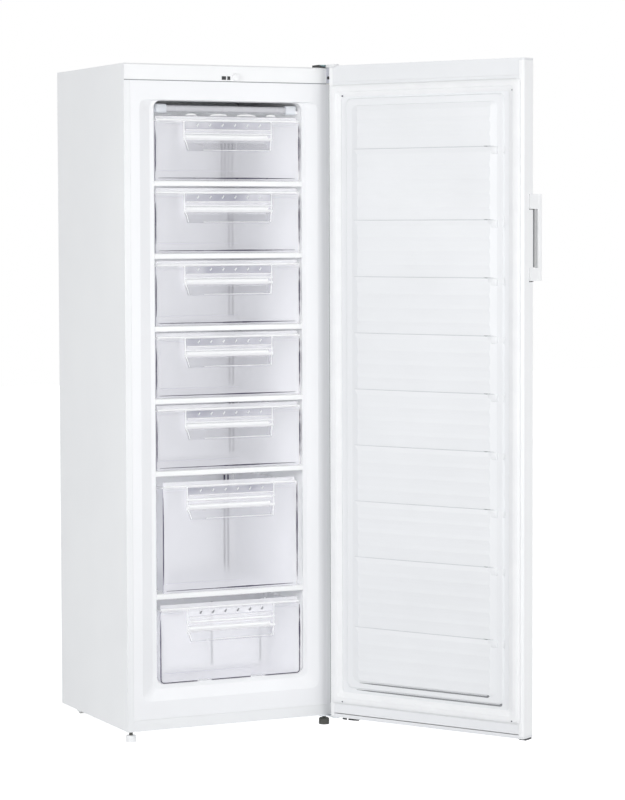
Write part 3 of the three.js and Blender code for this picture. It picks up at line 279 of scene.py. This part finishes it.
CLEAR = clear("clear_styrene", (0.945, 0.94, 0.985), (0.88, 0.87, 0.94), 0.28, 0.42)
# A paler, denser copy of the clear plastic for the lip over the rims: painted light for the shaded gap above
# them.
CLEAR_LIGHTENING_LIP = clear("clear_styrene_lip_painted_light", (0.93, 0.925, 0.965), (0.88, 0.87, 0.94), 0.48, 0.62)
# A painted highlight for the drawers' edges that catch light.
CLEAR_HIGHLIGHT = clear("clear_styrene_painted_highlight", (0.98, 0.98, 0.99), (0.95, 0.95, 0.97), 0.8, 0.92)
# A stronger painted highlight for beads along the drawers' rims, grips and corners.
CLEAR_STRONG_HIGHLIGHT = clear("clear_styrene_painted_strong_highlight", (0.985, 0.985, 0.995), (0.97, 0.97, 0.985), 0.93, 0.98)
# A soft painted shade for gray lines in the clear plastic.
CLEAR_SOFT_SHADE = clear("clear_styrene_painted_soft_shade", (0.60, 0.59, 0.68), (0.52, 0.51, 0.60), 0.55, 0.8)
# A deep painted shade for the drawers' dark side and bottom edges.
CLEAR_DEEP_SHADE = clear("clear_styrene_painted_deep_shade", (0.30, 0.28, 0.38), (0.22, 0.20, 0.30), 0.7, 0.85)
CLIP = clear("clear_clip", (0.88, 0.91, 0.96), (0.66, 0.70, 0.78), 0.55, 0.9)
SHADED_STRIP = shaded_strip()

FINISH = {
    "side_panel": ENAMEL,
    "top_panel": ENAMEL,
    "back_panel": ENAMEL,
    "plinth": ENAMEL,
    "base_pan": GALVANISED,
    "compressor_plate": GALVANISED,
    "inner_liner": LIGHTENED_LINER,
    "door_liner": DOOR_LINER,
    "cabinet_foam": FOAM,
    "door_foam": FOAM,
    "condenser_coil": COPPER,
    "filter_drier": COPPER,
    "evaporator": ALUMINIUM,
    "evaporator_bar": SHADED_BAR,
    "bar_clip": CLIP,
    "drawer": CLEAR,
    "indicator_lens": SMOKED,
    "thermostat": ZINC,
    "thermostat_knob": WHITE,
    "top_hinge_bracket": HINGE,
    "top_hinge_bolt": POT,
    "lower_hinge_bracket": ZINC,
    "compressor": POT,
    "drip_tray": BLACK,
    "cord_gland": BLACK,
    "roller": ROLLER,
    "foot_right": DARK_FOOT,
    "handle": LIGHTENED_HANDLE,
    "door_panel": LIGHTENED_DOOR_ENAMEL,
    "door_top_cap": CAP,
    "door_bottom_cap": CAP,
    "door_gasket": RUBBER,
    "door_stop": BLACK,
    "reversing_bush": BLACK,
}

# How wide the soft edges are, on the pieces that show them.
BEVELS = {
    "shelf_trim": 0.0006,
    "control_fascia": 0.0008,
    "handle": 0.0010,
    "door_top_cap": 0.0008,
    "door_bottom_cap": 0.0008,
    "thermostat_knob": 0.0003,
    "top_hinge_bracket": 0.0005,
    "side_panel": 0.0002,
}


def finish_of(name):
    """The finish of a node: the longest name in the table that starts its name, or white plastic."""
    found = [key for key in FINISH if name.startswith(key)]
    return FINISH[max(found, key=len)] if found else WHITE


def dress(obj, material, bevel=0.0):
    """Gives a piece its material, soft edges and smooth shading across gentle ones."""
    obj.data.materials.clear()
    obj.data.materials.append(material)
    if bevel:
        edge = obj.modifiers.new("soft_edges", "BEVEL")
        edge.width = bevel
        edge.segments = 2
        edge.limit_method = "ANGLE"
        edge.angle_limit = math.radians(40)
        edge.harden_normals = True
    for face in obj.data.polygons:
        face.use_smooth = True
    obj.data.set_sharp_from_angle(angle=math.radians(30))


for name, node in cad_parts.items():
    bevel = next((width for key, width in BEVELS.items() if name.startswith(key)), 0.0)
    dress(node, finish_of(name), bevel)


def refinish(node, materials, choose):
    """Adds materials after a node's own and gives each face the one that choose picks for it."""
    for material in materials:
        node.data.materials.append(material)
    for face in node.data.polygons:
        face.material_index = choose(face)


# The left foot is white below its dark threaded neck.
NECK_BOTTOM = 0.0172
refinish(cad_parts["foot_left"], [DARK_FOOT], lambda face: int(face.center.z > NECK_BOTTOM))

# The liner's flared mouth and frame are seen bare in full light, its inside through the drawers: the mouth
# gets a darker copy of the sheet as painted shade, the inside a lighter one as painted light for the deep
# cavity.
MOUTH_DEPTH = 0.011
refinish(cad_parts["inner_liner"], [SHADED_MOUTH], lambda face: int(face.center.y < FRONT + MOUTH_DEPTH))

# The hinge's plate over the top is dark and folded, its face beside the fascia zinc, its round end white.
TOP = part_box("top_panel")[1][2]
FOLD_IN = 0.026
ARM_START = 0.006


def hinge_face(face):
    """The hinge's finish by place: 0 dark plate, 1 bare zinc, 2 black fold, 3 white round end."""
    place = face.center
    if place.z <= TOP - 0.0005:
        return 1
    if place.y < FRONT - ARM_START:
        return 3
    return 2 if place.x < MIDDLE + HALF - FOLD_IN else 0


refinish(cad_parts["top_hinge_bracket"], [PALE_ZINC, BLACK, WHITE], hinge_face)

# ---------------------------------------------------------------- the drawers' own edges, in painted highlights and painted shade

DRAWERS = range(1, 8)
DEEP_DRAWERS = (6, 7)
LOWEST = 7

# The grip's bar, the rib above it and its pocket's lower lip, down from the rim.
GRIP = (0.047, 0.034, 0.079)
DEEP_GRIP = (0.058, 0.035, 0.089)
GRIP_HALF = 0.128
POCKET_SIDE = (0.112, 0.131)
POCKET_EDGE_DEPTH = 0.012
BAR_DEPTH, BAR_BAND = 0.0085, 0.0048
RIB_DEPTH, RIB_BAND = 0.0045, 0.0022
LIP_BAND = 0.003
RIM_BAND = 0.0027
PANEL_DEPTH, PANEL_BAND = 0.0068, 0.004


def paint_edge_light(node, grip):
    """Paints light and shade onto a drawer's thin edges: painted highlights where the rim and the grip catch
    light, painted shade where the sides go dark.
    """
    lo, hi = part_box(node.name)
    middle = (lo[0] + hi[0]) / 2
    half = (hi[0] - lo[0]) / 2
    bar, rib, lip = (hi[2] - drop for drop in grip)

    def choose(face):
        c, n = face.center, face.normal
        across = abs(c.x - middle)
        deep = c.y - lo[1]
        in_grip = across < GRIP_HALF
        # highlight picks the faces painted as light on the rim and the grip; dark picks those painted in
        # shade along the sides and the bottom.
        highlight = c.z > hi[2] - RIM_BAND
        highlight |= in_grip and deep < BAR_DEPTH and abs(c.z - bar) < BAR_BAND
        highlight |= in_grip and deep < RIB_DEPTH and abs(c.z - rib) < RIB_BAND and abs(n.y) < 0.995
        highlight |= in_grip and deep < POCKET_EDGE_DEPTH and abs(c.z - lip) < LIP_BAND and n.z > 0.5
        highlight |= POCKET_SIDE[0] < across < POCKET_SIDE[1] and abs(n.x) > 0.7 and deep < POCKET_EDGE_DEPTH
        dark = deep < PANEL_DEPTH and across > half - PANEL_BAND and abs(n.x) > 0.5
        dark |= deep < PANEL_DEPTH and c.z < lo[2] + PANEL_BAND and n.z < -0.5
        return 1 if highlight else 2 if dark else 0

    refinish(node, [CLEAR_HIGHLIGHT, CLEAR_DEEP_SHADE], choose)


for number in DRAWERS:
    paint_edge_light(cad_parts[f"drawer_{number}"], DEEP_GRIP if number in DEEP_DRAWERS else GRIP)

# ---------------------------------------------------------------- makers of fine pieces


def bead(name, body, material, paths, width):
    """Round beads along paths of (point, share of the width)."""
    data = bpy.data.curves.new(name, "CURVE")
    data.dimensions = "3D"
    data.bevel_depth = width / 2
    data.bevel_resolution = 2
    data.use_fill_caps = True
    for path in paths:
        spline = data.splines.new("POLY")
        spline.points.add(len(path) - 1)
        for point, (at, share) in zip(spline.points, path):
            point.co = (*at, 1)
            point.radius = share
    data.materials.append(material)
    obj = bpy.data.objects.new(name, data)
    bpy.context.collection.objects.link(obj)
    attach(obj, body)


def slabs(name, body, material, boxes, bevel, place=None):
    """Strips with rounded edges, each between two corners; place turns them with the door."""
    mesh = bpy.data.meshes.new(name)
    shape = bmesh.new()
    for low, high in boxes:
        made = bmesh.ops.create_cube(shape, size=1)["verts"]
        middle = (Vector(low) + Vector(high)) / 2
        span = Vector(high) - Vector(low)
        for vertex in made:
            vertex.co = Vector(c * s for c, s in zip(vertex.co, span)) + middle
    bmesh.ops.bevel(shape, geom=shape.edges[:], offset=bevel, segments=3, profile=0.5, affect="EDGES")
    if place:
        bmesh.ops.transform(shape, matrix=place, verts=shape.verts)
    shape.to_mesh(mesh)
    shape.free()
    obj = bpy.data.objects.new(name, mesh)
    bpy.context.collection.objects.link(obj)
    dress(obj, material)
    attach(obj, body)


# ---------------------------------------------------------------- drawers


class Front:
    """A drawer's front in millimetres: from its middle, out from its face and down from its rim."""

    # How far inside the drawer's box the panel's face, the tub's back wall and its corners are.
    FACE = 0.003
    REAR = 0.0172
    CORNER, DEEP_CORNER = 0.010, 0.018

    def __init__(self, number):
        self.number = number
        self.name = f"drawer_{number}"
        self.lowest = number == LOWEST
        self.deep = number in DEEP_DRAWERS
        lo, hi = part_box(self.name)
        self.middle = (lo[0] + hi[0]) / 2
        self.half = (hi[0] - lo[0]) / 2
        self.face = lo[1] + self.FACE
        self.rear = hi[1] - self.REAR
        self.floor, self.rim = lo[2], hi[2]
        self.corner = self.half - (self.DEEP_CORNER if self.deep else self.CORNER)
        self.edge = self.half * 1000
        self.tall = (self.rim - self.floor) * 1000
        self.bar, self.lip = (53, 86) if self.deep else (42, 77)

    def at(self, x, out, drop):
        return (self.middle + x / 1000, self.face - out / 1000, self.rim - drop / 1000)

    def line(self, x0, x1, out, drop, shares=(1, 1)):
        """A level path with one point for each share of the bead's width."""
        steps = len(shares) - 1
        places = [x0 + (x1 - x0) * k / steps for k in range(len(shares))]
        return [(self.at(x, out, drop), share) for x, share in zip(places, shares)]

    def post(self, x, out, top, bottom, shares):
        """An upright path with one point for each share of the bead's width."""
        steps = len(shares) - 1
        drops = [top + (bottom - top) * k / steps for k in range(len(shares))]
        return [(self.at(x, out, drop), share) for drop, share in zip(drops, shares)]

    def rear_post(self, offset):
        """An upright path up the back wall, millimetres in from its right corner."""
        x = self.middle + self.corner - offset / 1000
        return [(Vector((x, self.rear, z)), 1) for z in (self.floor + 0.008, self.rim - 0.012)]

    def bead(self, piece, material, paths, width):
        bead(f"{self.name}_{piece}", self.name, material, paths, width)

    def slab(self, piece, material, corners, bevel):
        slabs(f"{self.name}_{piece}", self.name, material, [corners], bevel)


def rim_pieces(front):
    """The rim's rolled edge with a painted highlight along it, and the raised lip behind it, a pale sheet
    that paints light into the shaded gap above the rim.
    """
    edge = front.edge
    rise = 11 if front.number == 1 else 12
    front.bead("rim_roll", CLEAR_STRONG_HIGHLIGHT, [front.line(-edge + 3, edge - 3, 0.2, -0.6)], width=0.0058)
    front.slab("upper_lip", CLEAR_LIGHTENING_LIP, (front.at(4 - edge, -9.6, 0), front.at(edge - 4, -8, -rise)), 0.0003)


def grip_pieces(front):
    """The grip's outline, rails and bar, drawn as painted highlights, and the gray lines under them, which
    are painted shade.
    """
    at, line, bar, lip = front.at, front.line, front.bar, front.lip
    left = [
        (at(-125, 0.2, 2), 1),
        (at(-125, 0.2, bar + 3), 1.1),
        (at(-118, 0.2, bar + 18), 0.6),
        (at(-113, 0.2, lip), 0.3),
    ]
    right = [(at(125, 0.2, 2), 0.8), (at(125, 0.2, bar), 0.8), (at(122, 0.2, lip), 0.6)]
    front.bead("grip_edges", CLEAR_STRONG_HIGHLIGHT, [left, right], width=0.0028)

    rails = [line(-119, 122, 0.3, 24), line(-70, 119, 0.1, lip, (0.5, 0.9, 1, 1))]
    front.bead("grip_rails", CLEAR_STRONG_HIGHLIGHT, rails, width=0.0022)

    bars = [line(-122, 112, 0.6, bar, (1, 1, 1, 1))]
    if front.deep:
        bars.append(line(-122, 116, 0.6, 36, (0.62, 0.62)))
    front.bead("grip_bar", CLEAR_STRONG_HIGHLIGHT, bars, width=0.0118)

    shade = [
        line(-118, 112, 0.2, bar + 7.2, (0.6, 1, 1, 0.8)),
        line(-110, 118, 0.1, lip + 2, (0.1, 0.7, 1, 1)),
        line(-119, 122, 0.3, 21, (0.8, 0.8)),
        [(at(118, 0.2, bar - 6), 0.3), (at(120, 0.2, bar), 0.7), (at(119, 0.2, lip - 4), 0.7)],
    ]
    front.bead("grip_shade", CLEAR_SOFT_SHADE, shade, width=0.0016)


# A tick's points from its middle: across, down from the rim, and its share of the width.
TICK = ((-2.6, 12, 0.6), (-1, 15, 0.9), (0.8, 11.5, 1.1), (2.8, 8.2, 0.8))
TICKS, FIRST_TICK, TICK_PITCH = 6, -87, 35.6


def tick_pieces(front):
    """The grip's inner strip and its ticks: dark on clear in the lowest drawer, else white on the strip's
    painted gray shade.
    """
    strip, mark = (CLEAR, SEAM_AND_SHADOW) if front.lowest else (SHADED_STRIP, WHITE)
    front.slab("tick_strip", strip, (front.at(-121, -0.1, 20.5), front.at(121, 0.5, 4)), 0.0002)
    middles = [FIRST_TICK + TICK_PITCH * k for k in range(TICKS)]
    paths = [[(front.at(x + dx, 1.0, drop), share) for dx, drop, share in TICK] for x in middles]
    front.bead("ticks", mark, paths, width=0.0034)


def edge_pieces(front):
    """The panel's edges in painted shade, uneven as the light catches them, and the faint lines of the mould
    in a soft painted shade.
    """
    edge, tall, line = front.edge, front.tall, front.line
    dark_edges = [
        front.post(edge - 0.8, 0.5, 9, tall - 24, (0.35, 0.9, 0.5, 1.1, 1.2, 0.9, 1, 0.5, 0.7, 0.3)),
        front.post(0.8 - edge, 0.5, 26, tall - 24, (0.2, 0.6, 0.8, 0.6, 0.7, 0.2)),
    ]
    if not front.lowest:
        dark_edges.append(line(-edge + 9, edge - 14, 0.4, tall - 7, (0.3, 0.45, 0.5, 0.45, 0.8, 1, 0.7, 0.5, 0.3)))
    front.bead("edge_shade_lines", VIOLET, dark_edges, width=0.0036)

    mould = [
        line(-edge + 7, 28, 0.1, tall - 26, (0.9, 0.7, 0.5)),
        line(-edge + 7, -128, 0.1, 10, (0.9, 0.9)),
        line(128, edge - 8, 0.1, 12, (0.8, 0.8)),
        line(edge - 60, edge - 10, 0.1, 5, (0.6, 0.9)),
    ]
    front.bead("mould_lines", CLEAR_SOFT_SHADE, mould, width=0.0013)


def floor_pieces(front):
    """The lowest drawer's lower edge in painted shade, which skips its two raised channels, and the lines
    over its floor: painted shade along the channels and a painted highlight along the back.
    """
    edge, tall = front.edge, front.tall
    start = (99, tall - 1)
    angles = [math.radians(18 * k) for k in range(6)]
    turn = [(edge - 10 + 9 * math.sin(a), tall - 10 + 9 * math.cos(a)) for a in angles]
    left = [(front.at(-x, 0.3, drop), 1) for x, drop in [start, *turn, (edge - 1, tall - 50)]]
    right = [(front.at(x, 0.3, drop), 1) for x, drop in [start, *turn, (edge - 1, tall - 60)]]
    between = front.line(-55, 55, 0.3, tall - 1)
    front.bead("lower_edge", VIOLET, [left, between, right], width=0.0026)

    rails = []
    for x in (-95, -57, 57, 95):
        near = Vector((front.middle + x / 1000, front.face + 0.004, front.floor + 0.0075))
        far = Vector((front.middle + x / 1000, front.rear, front.floor + 0.0075))
        rails.append([(near, 1), (far, 0.8)])
    front.bead("floor_rails", CLEAR_SOFT_SHADE, rails, width=0.0024)

    ends = (-front.half + 0.02, 0.02)
    back = [(Vector((front.middle + x, front.rear, front.floor + 0.006)), 1) for x in ends]
    front.bead("floor_edge", CLEAR_STRONG_HIGHLIGHT, [back], width=0.0070)


def rear_pieces(front):
    """The ribs up the back wall, dark in painted shade, and a painted highlight in its right corner."""
    places = {1: (14, 25, 36, 46), LOWEST: (14, 158)}.get(front.number, (14, 25))
    material, width = (SEAM_AND_SHADOW, 0.0036) if front.lowest else (VIOLET, 0.0048)
    front.bead("rear_ribs", material, [front.rear_post(offset) for offset in places], width)
    if front.lowest:
        floor_pieces(front)
    front.bead("rear_corner", CLEAR_STRONG_HIGHLIGHT, [front.rear_post(-1)], width=0.0042)


for number in DRAWERS:
    drawer = Front(number)
    rim_pieces(drawer)
    grip_pieces(drawer)
    tick_pieces(drawer)
    edge_pieces(drawer)
    rear_pieces(drawer)

# ---------------------------------------------------------------- cabinet

# The evaporator's bends under the bar at the top, each at its middle with its reach to either side.
BENDS = ((-0.098, 0.015), (-0.020, 0.024), (0.060, 0.027), (0.131, 0.013))
BEND_BACK, BEND_DROP, BEND_SAG = 0.006, 0.006, 0.003
bar_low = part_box("evaporator_bar")[0]
for k, (x, reach) in enumerate(BENDS):
    points = []
    for a in (math.pi * j / 8 for j in range(9)):
        z = bar_low[2] - BEND_DROP - BEND_SAG * (1 - math.sin(a))
        at = Vector((MIDDLE + x - reach * math.cos(a), bar_low[1] + BEND_BACK, z))
        points.append((at, 0.35 + 0.65 * math.sin(a)))
    bead(f"evaporator_bend_{k + 1}", "cabinet", WHITE, [points], width=0.0062)

# The seam under the fascia.
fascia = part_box("control_fascia")
seam_z = fascia[0][2] - 0.0007
seam_ends = (MIDDLE - HALF + 0.0004, fascia[1][0])
seam = [(Vector((x, FRONT + 0.0003, seam_z)), 1) for x in seam_ends]
bead("fascia_seam", "cabinet", SEAM_AND_SHADOW, [seam], width=0.0024)

# A painted shadow: a dark line on the frame beside the door along the cabinet's hinge side, standing in for
# the deep shade in the gap, at heights with shares of its width.
gap_shadow_widths = ((60, 0.7), (500, 1), (1300, 0.9), (1718, 0.6))
side = [(cabinet(*mm(HALF * 1000 - 7, -0.2, z)), share) for z, share in gap_shadow_widths]
bead("hinge_side_gap_shadow", "cabinet", SEAM_AND_SHADOW, [side], width=0.0026)

# ---------------------------------------------------------------- door

# Painted shadow lines under the panels of the door's liner, at the heights where two panels meet.
PANEL_SHARES = [148, 187, 148.5, 148.5, 148.5, 148.5, 148.5, 148.5, 187, 114]
PANELS_BOTTOM, PANELS_TOP = 133, 1660
unit = (PANELS_TOP - PANELS_BOTTOM) / sum(PANEL_SHARES)
levels = [PANELS_BOTTOM + unit * sum(PANEL_SHARES[: k + 1]) for k in range(len(PANEL_SHARES) - 1)]


def level_lines(path, drop):
    """The same path of (x, y, share) on the door, a little below every level."""
    return [[(door(x, y, z - drop), share) for x, y, share in path] for z in levels]


# Each step line is a painted shadow under a panel's edge, and each step end a darker painted shade at its
# lower right corner.
STEP_LINE = ((214, -4.6, 0.3), (150, -4.6, 0.8), (-60, -4.6, 0.9), (-196, -4.6, 1.0), (-212, -5.2, 0.4))
STEP_END = ((-176, -4.3, 0.4), (-192, -4.3, 1), (-203, -4.6, 0.5))
bead("liner_step_shadows", "door", STEP_SHADOW, level_lines(STEP_LINE, 0.8), width=0.0028)
bead("liner_step_end_shades", "door", SEAM_AND_SHADOW, level_lines(STEP_END, 0.6), width=0.0030)

# Each panel's lower right corner stands out in a small tab over the slopes of the field and the plateau.
tabs = []
for z in levels:
    tabs.append((cabinet(*mm(-223, -9, z - 21)), cabinet(*mm(-197, -3.4, z - 1.8))))
    tabs.append((cabinet(*mm(-243, -10, z - 20)), cabinet(*mm(-230, -6.9, z - 3))))
slabs("liner_tabs", "door", DOOR_LINER, tabs, 0.0018, DOOR)


def foot_line(z, left, right, y):
    """A painted shade line along a step's foot, where the crease lies in shade, that turns up at its right
    end.
    """
    angles = [math.radians(15 * k) for k in range(6)]
    turn = [(right - 8 * math.sin(a), z + 8 - 8 * math.cos(a)) for a in angles]
    path = [(left, z), (left - 40, z), (0, z), (right + 40, z), *turn]
    shares = [0.25, 0.8, 1, 1, 1.1, 1.3, 1.6, 1.7, 1.4, 0.8]
    return [(door(x, y, height), share) for (x, height), share in zip(path, shares)]


foot_shades = [foot_line(130.5, 200, -190, -6.3), foot_line(110.5, 212, -226, -9.8)]
bead("liner_foot_shades", "door", SEAM_AND_SHADOW, foot_shades, width=0.0038)

# The screws at the liner's corners, each up to the face that it shows on.
SCREWS = ((250, 1685.5, -4.4), (-268, 1685.5, -2.2), (252, 76, -0.7), (-268, 76, -0.7))
screws = [[(door(x, out - 2, z), 1), (door(x, out, z), 1)] for x, z, out in SCREWS]
bead("liner_screws", "door", VIOLET, screws, width=0.0042)

# The gasket's outer fold, which closes it against the liner.
FOLD = ((288, 77), (286, 69.5), (280, 68.3), (-280, 68.3), (-286, 69.5), (-288, 77))
bead("gasket_fold", "door", RUBBER, [[(door(x, -9.0, z), 1) for x, z in FOLD]], width=0.0030)


def door_path(*points):
    """A path on the door from points given as (x, y, z, share)."""
    return [(door(x, y, z), share) for x, y, z, share in points]


# Black lines run along the lower edges of the handle's mounts, and a painted shadow strip darkens the gap
# behind its bar.
upper_mount_line = door_path((-298.2, -37, 1384.3, 0.7), (-298.4, -56, 1384.3, 1), (-298.4, -63, 1384.3, 1.2))
lower_mount_line = door_path((-298.2, -38, 1200.6, 1.2), (-298.4, -50, 1200.6, 1.2), (-298.2, -58, 1200.6, 0.4))
bead("handle_mount_lines", "door", BLACK, [upper_mount_line, lower_mount_line], width=0.0026)
strip = door_path((-296.2, -64, 1384, 1), (-296.2, -64, 1236, 0.9))
bead("handle_gap_shadow", "door", SEAM_AND_SHADOW, [strip], width=0.0052)

# Black bushes under the door beside the hinge.
short_bush = door_path((259, -14, 27.6, 0.8), (247, -14, 27.6, 1))
long_bush = door_path((240, -14, 27.8, 1), (224, -14, 27.4, 0.8), (208, -14, 28, 0.6))
bead("door_bushes", "door", BLACK, [short_bush, long_bush], width=0.0056)

# ---------------------------------------------------------------- floor and light

FLOOR_SIZE = 30.0
FLOOR_GLOW = 0.88
AMBIENT = 0.40


def white_rays(tree):
    """1 for the rays that see the studio white: the camera's own, and those it mirrors or lets through."""
    path = tree.nodes.new("ShaderNodeLightPath")
    seen = path.outputs["Is Camera Ray"]
    for kind in ("Is Glossy Ray", "Is Transmission Ray"):
        either = tree.nodes.new("ShaderNodeMath")
        either.operation = "MAXIMUM"
        tree.links.new(seen, either.inputs[0])
        tree.links.new(path.outputs[kind], either.inputs[1])
        seen = either.outputs["Value"]
    return seen


def mix_by_rays(tree, lighting, seen, output):
    """Sends one shader to the rays that light the object and another to those that see the studio."""
    mix = tree.nodes.new("ShaderNodeMixShader")
    tree.links.new(white_rays(tree), mix.inputs["Fac"])
    tree.links.new(lighting, mix.inputs[1])
    tree.links.new(seen, mix.inputs[2])
    tree.links.new(mix.outputs["Shader"], tree.nodes[output].inputs["Surface"])


def floor_material():
    """A white floor that stays white to the camera and lights the object as pale matt paper would."""
    m = Nodes("floor_paper", (0.66, 0.66, 0.67), 0.9)
    glow = m.add("ShaderNodeEmission")
    glow.inputs["Strength"].default_value = FLOOR_GLOW
    both = m.add("ShaderNodeAddShader")
    m.link(m.shader.outputs["BSDF"], both.inputs[0])
    m.link(glow.outputs["Emission"], both.inputs[1])
    mix_by_rays(m.tree, m.shader.outputs["BSDF"], both.outputs["Shader"], "Material Output")
    return m.material


bpy.ops.mesh.primitive_plane_add(size=FLOOR_SIZE, location=(0, 0, 0))
floor = bpy.context.object
floor.name = "floor"
floor.data.materials.append(floor_material())

world = bpy.data.worlds.new("studio")
bpy.context.scene.world = world
world.use_nodes = True
tree = world.node_tree
ambient = tree.nodes["Background"]
ambient.inputs["Color"].default_value = (0.96, 0.98, 1.0, 1)
ambient.inputs["Strength"].default_value = AMBIENT
white = tree.nodes.new("ShaderNodeBackground")
white.inputs["Color"].default_value = (1, 1, 1, 1)
white.inputs["Strength"].default_value = 1.0
mix_by_rays(tree, ambient.outputs["Background"], white.outputs["Background"], "World Output")


def area(name, at, target, size, power):
    data = bpy.data.lights.new(name, "AREA")
    data.shape = "RECTANGLE"
    data.size, data.size_y = size
    data.energy = power
    lamp = bpy.data.objects.new(name, data)
    bpy.context.collection.objects.link(lamp)
    lamp.location = at
    lamp.rotation_euler = (Vector(target) - Vector(at)).to_track_quat("-Z", "Y").to_euler()


area("front", (0.7, -4.4, 1.35), (-0.05, 0.2, 0.9), (1.5, 2.6), power=50)
area("right", (2.4, -3.9, 1.4), (0.5, -0.5, 0.9), (1.2, 2.4), power=28)
area("fill", (-4.4, -1.7, 1.9), (-0.2, 0, 0.9), (2.0, 2.4), power=96)
bpy.context.scene.cycles.transparent_max_bounces = 40
bpy.context.scene.cycles.diffuse_bounces = 8

# ---------------------------------------------------------------- camera

# The photograph's camera: its place from the cabinet, its turns and its lens.
CAMERA_AT = (-2.8559, -6.4214, 1.3408)
AZIMUTH = math.radians(-25.73)
PITCH = math.radians(2.85)
ROLL = math.radians(-0.18)
LENS, SENSOR, SHIFT = 120.26, 36, -0.05

back = Vector((math.sin(AZIMUTH) * math.cos(PITCH), -math.cos(AZIMUTH) * math.cos(PITCH), math.sin(PITCH)))
right = (-back).cross(Vector((0, 0, 1))).normalized()
up = right.cross(-back)
rolled_right = math.cos(ROLL) * right + math.sin(ROLL) * up
rolled_up = -math.sin(ROLL) * right + math.cos(ROLL) * up
turn = Matrix((rolled_right, rolled_up, back)).transposed().to_4x4()

lens = bpy.data.cameras.new("camera")
lens.lens = LENS
lens.sensor_width = SENSOR
lens.shift_y = SHIFT
camera = bpy.data.objects.new("camera", lens)
bpy.context.collection.objects.link(camera)
camera.matrix_world = Matrix.Translation(cabinet(*CAMERA_AT)) @ turn
bpy.context.scene.camera = camera
bpy.context.scene.view_settings.view_transform = "Standard"
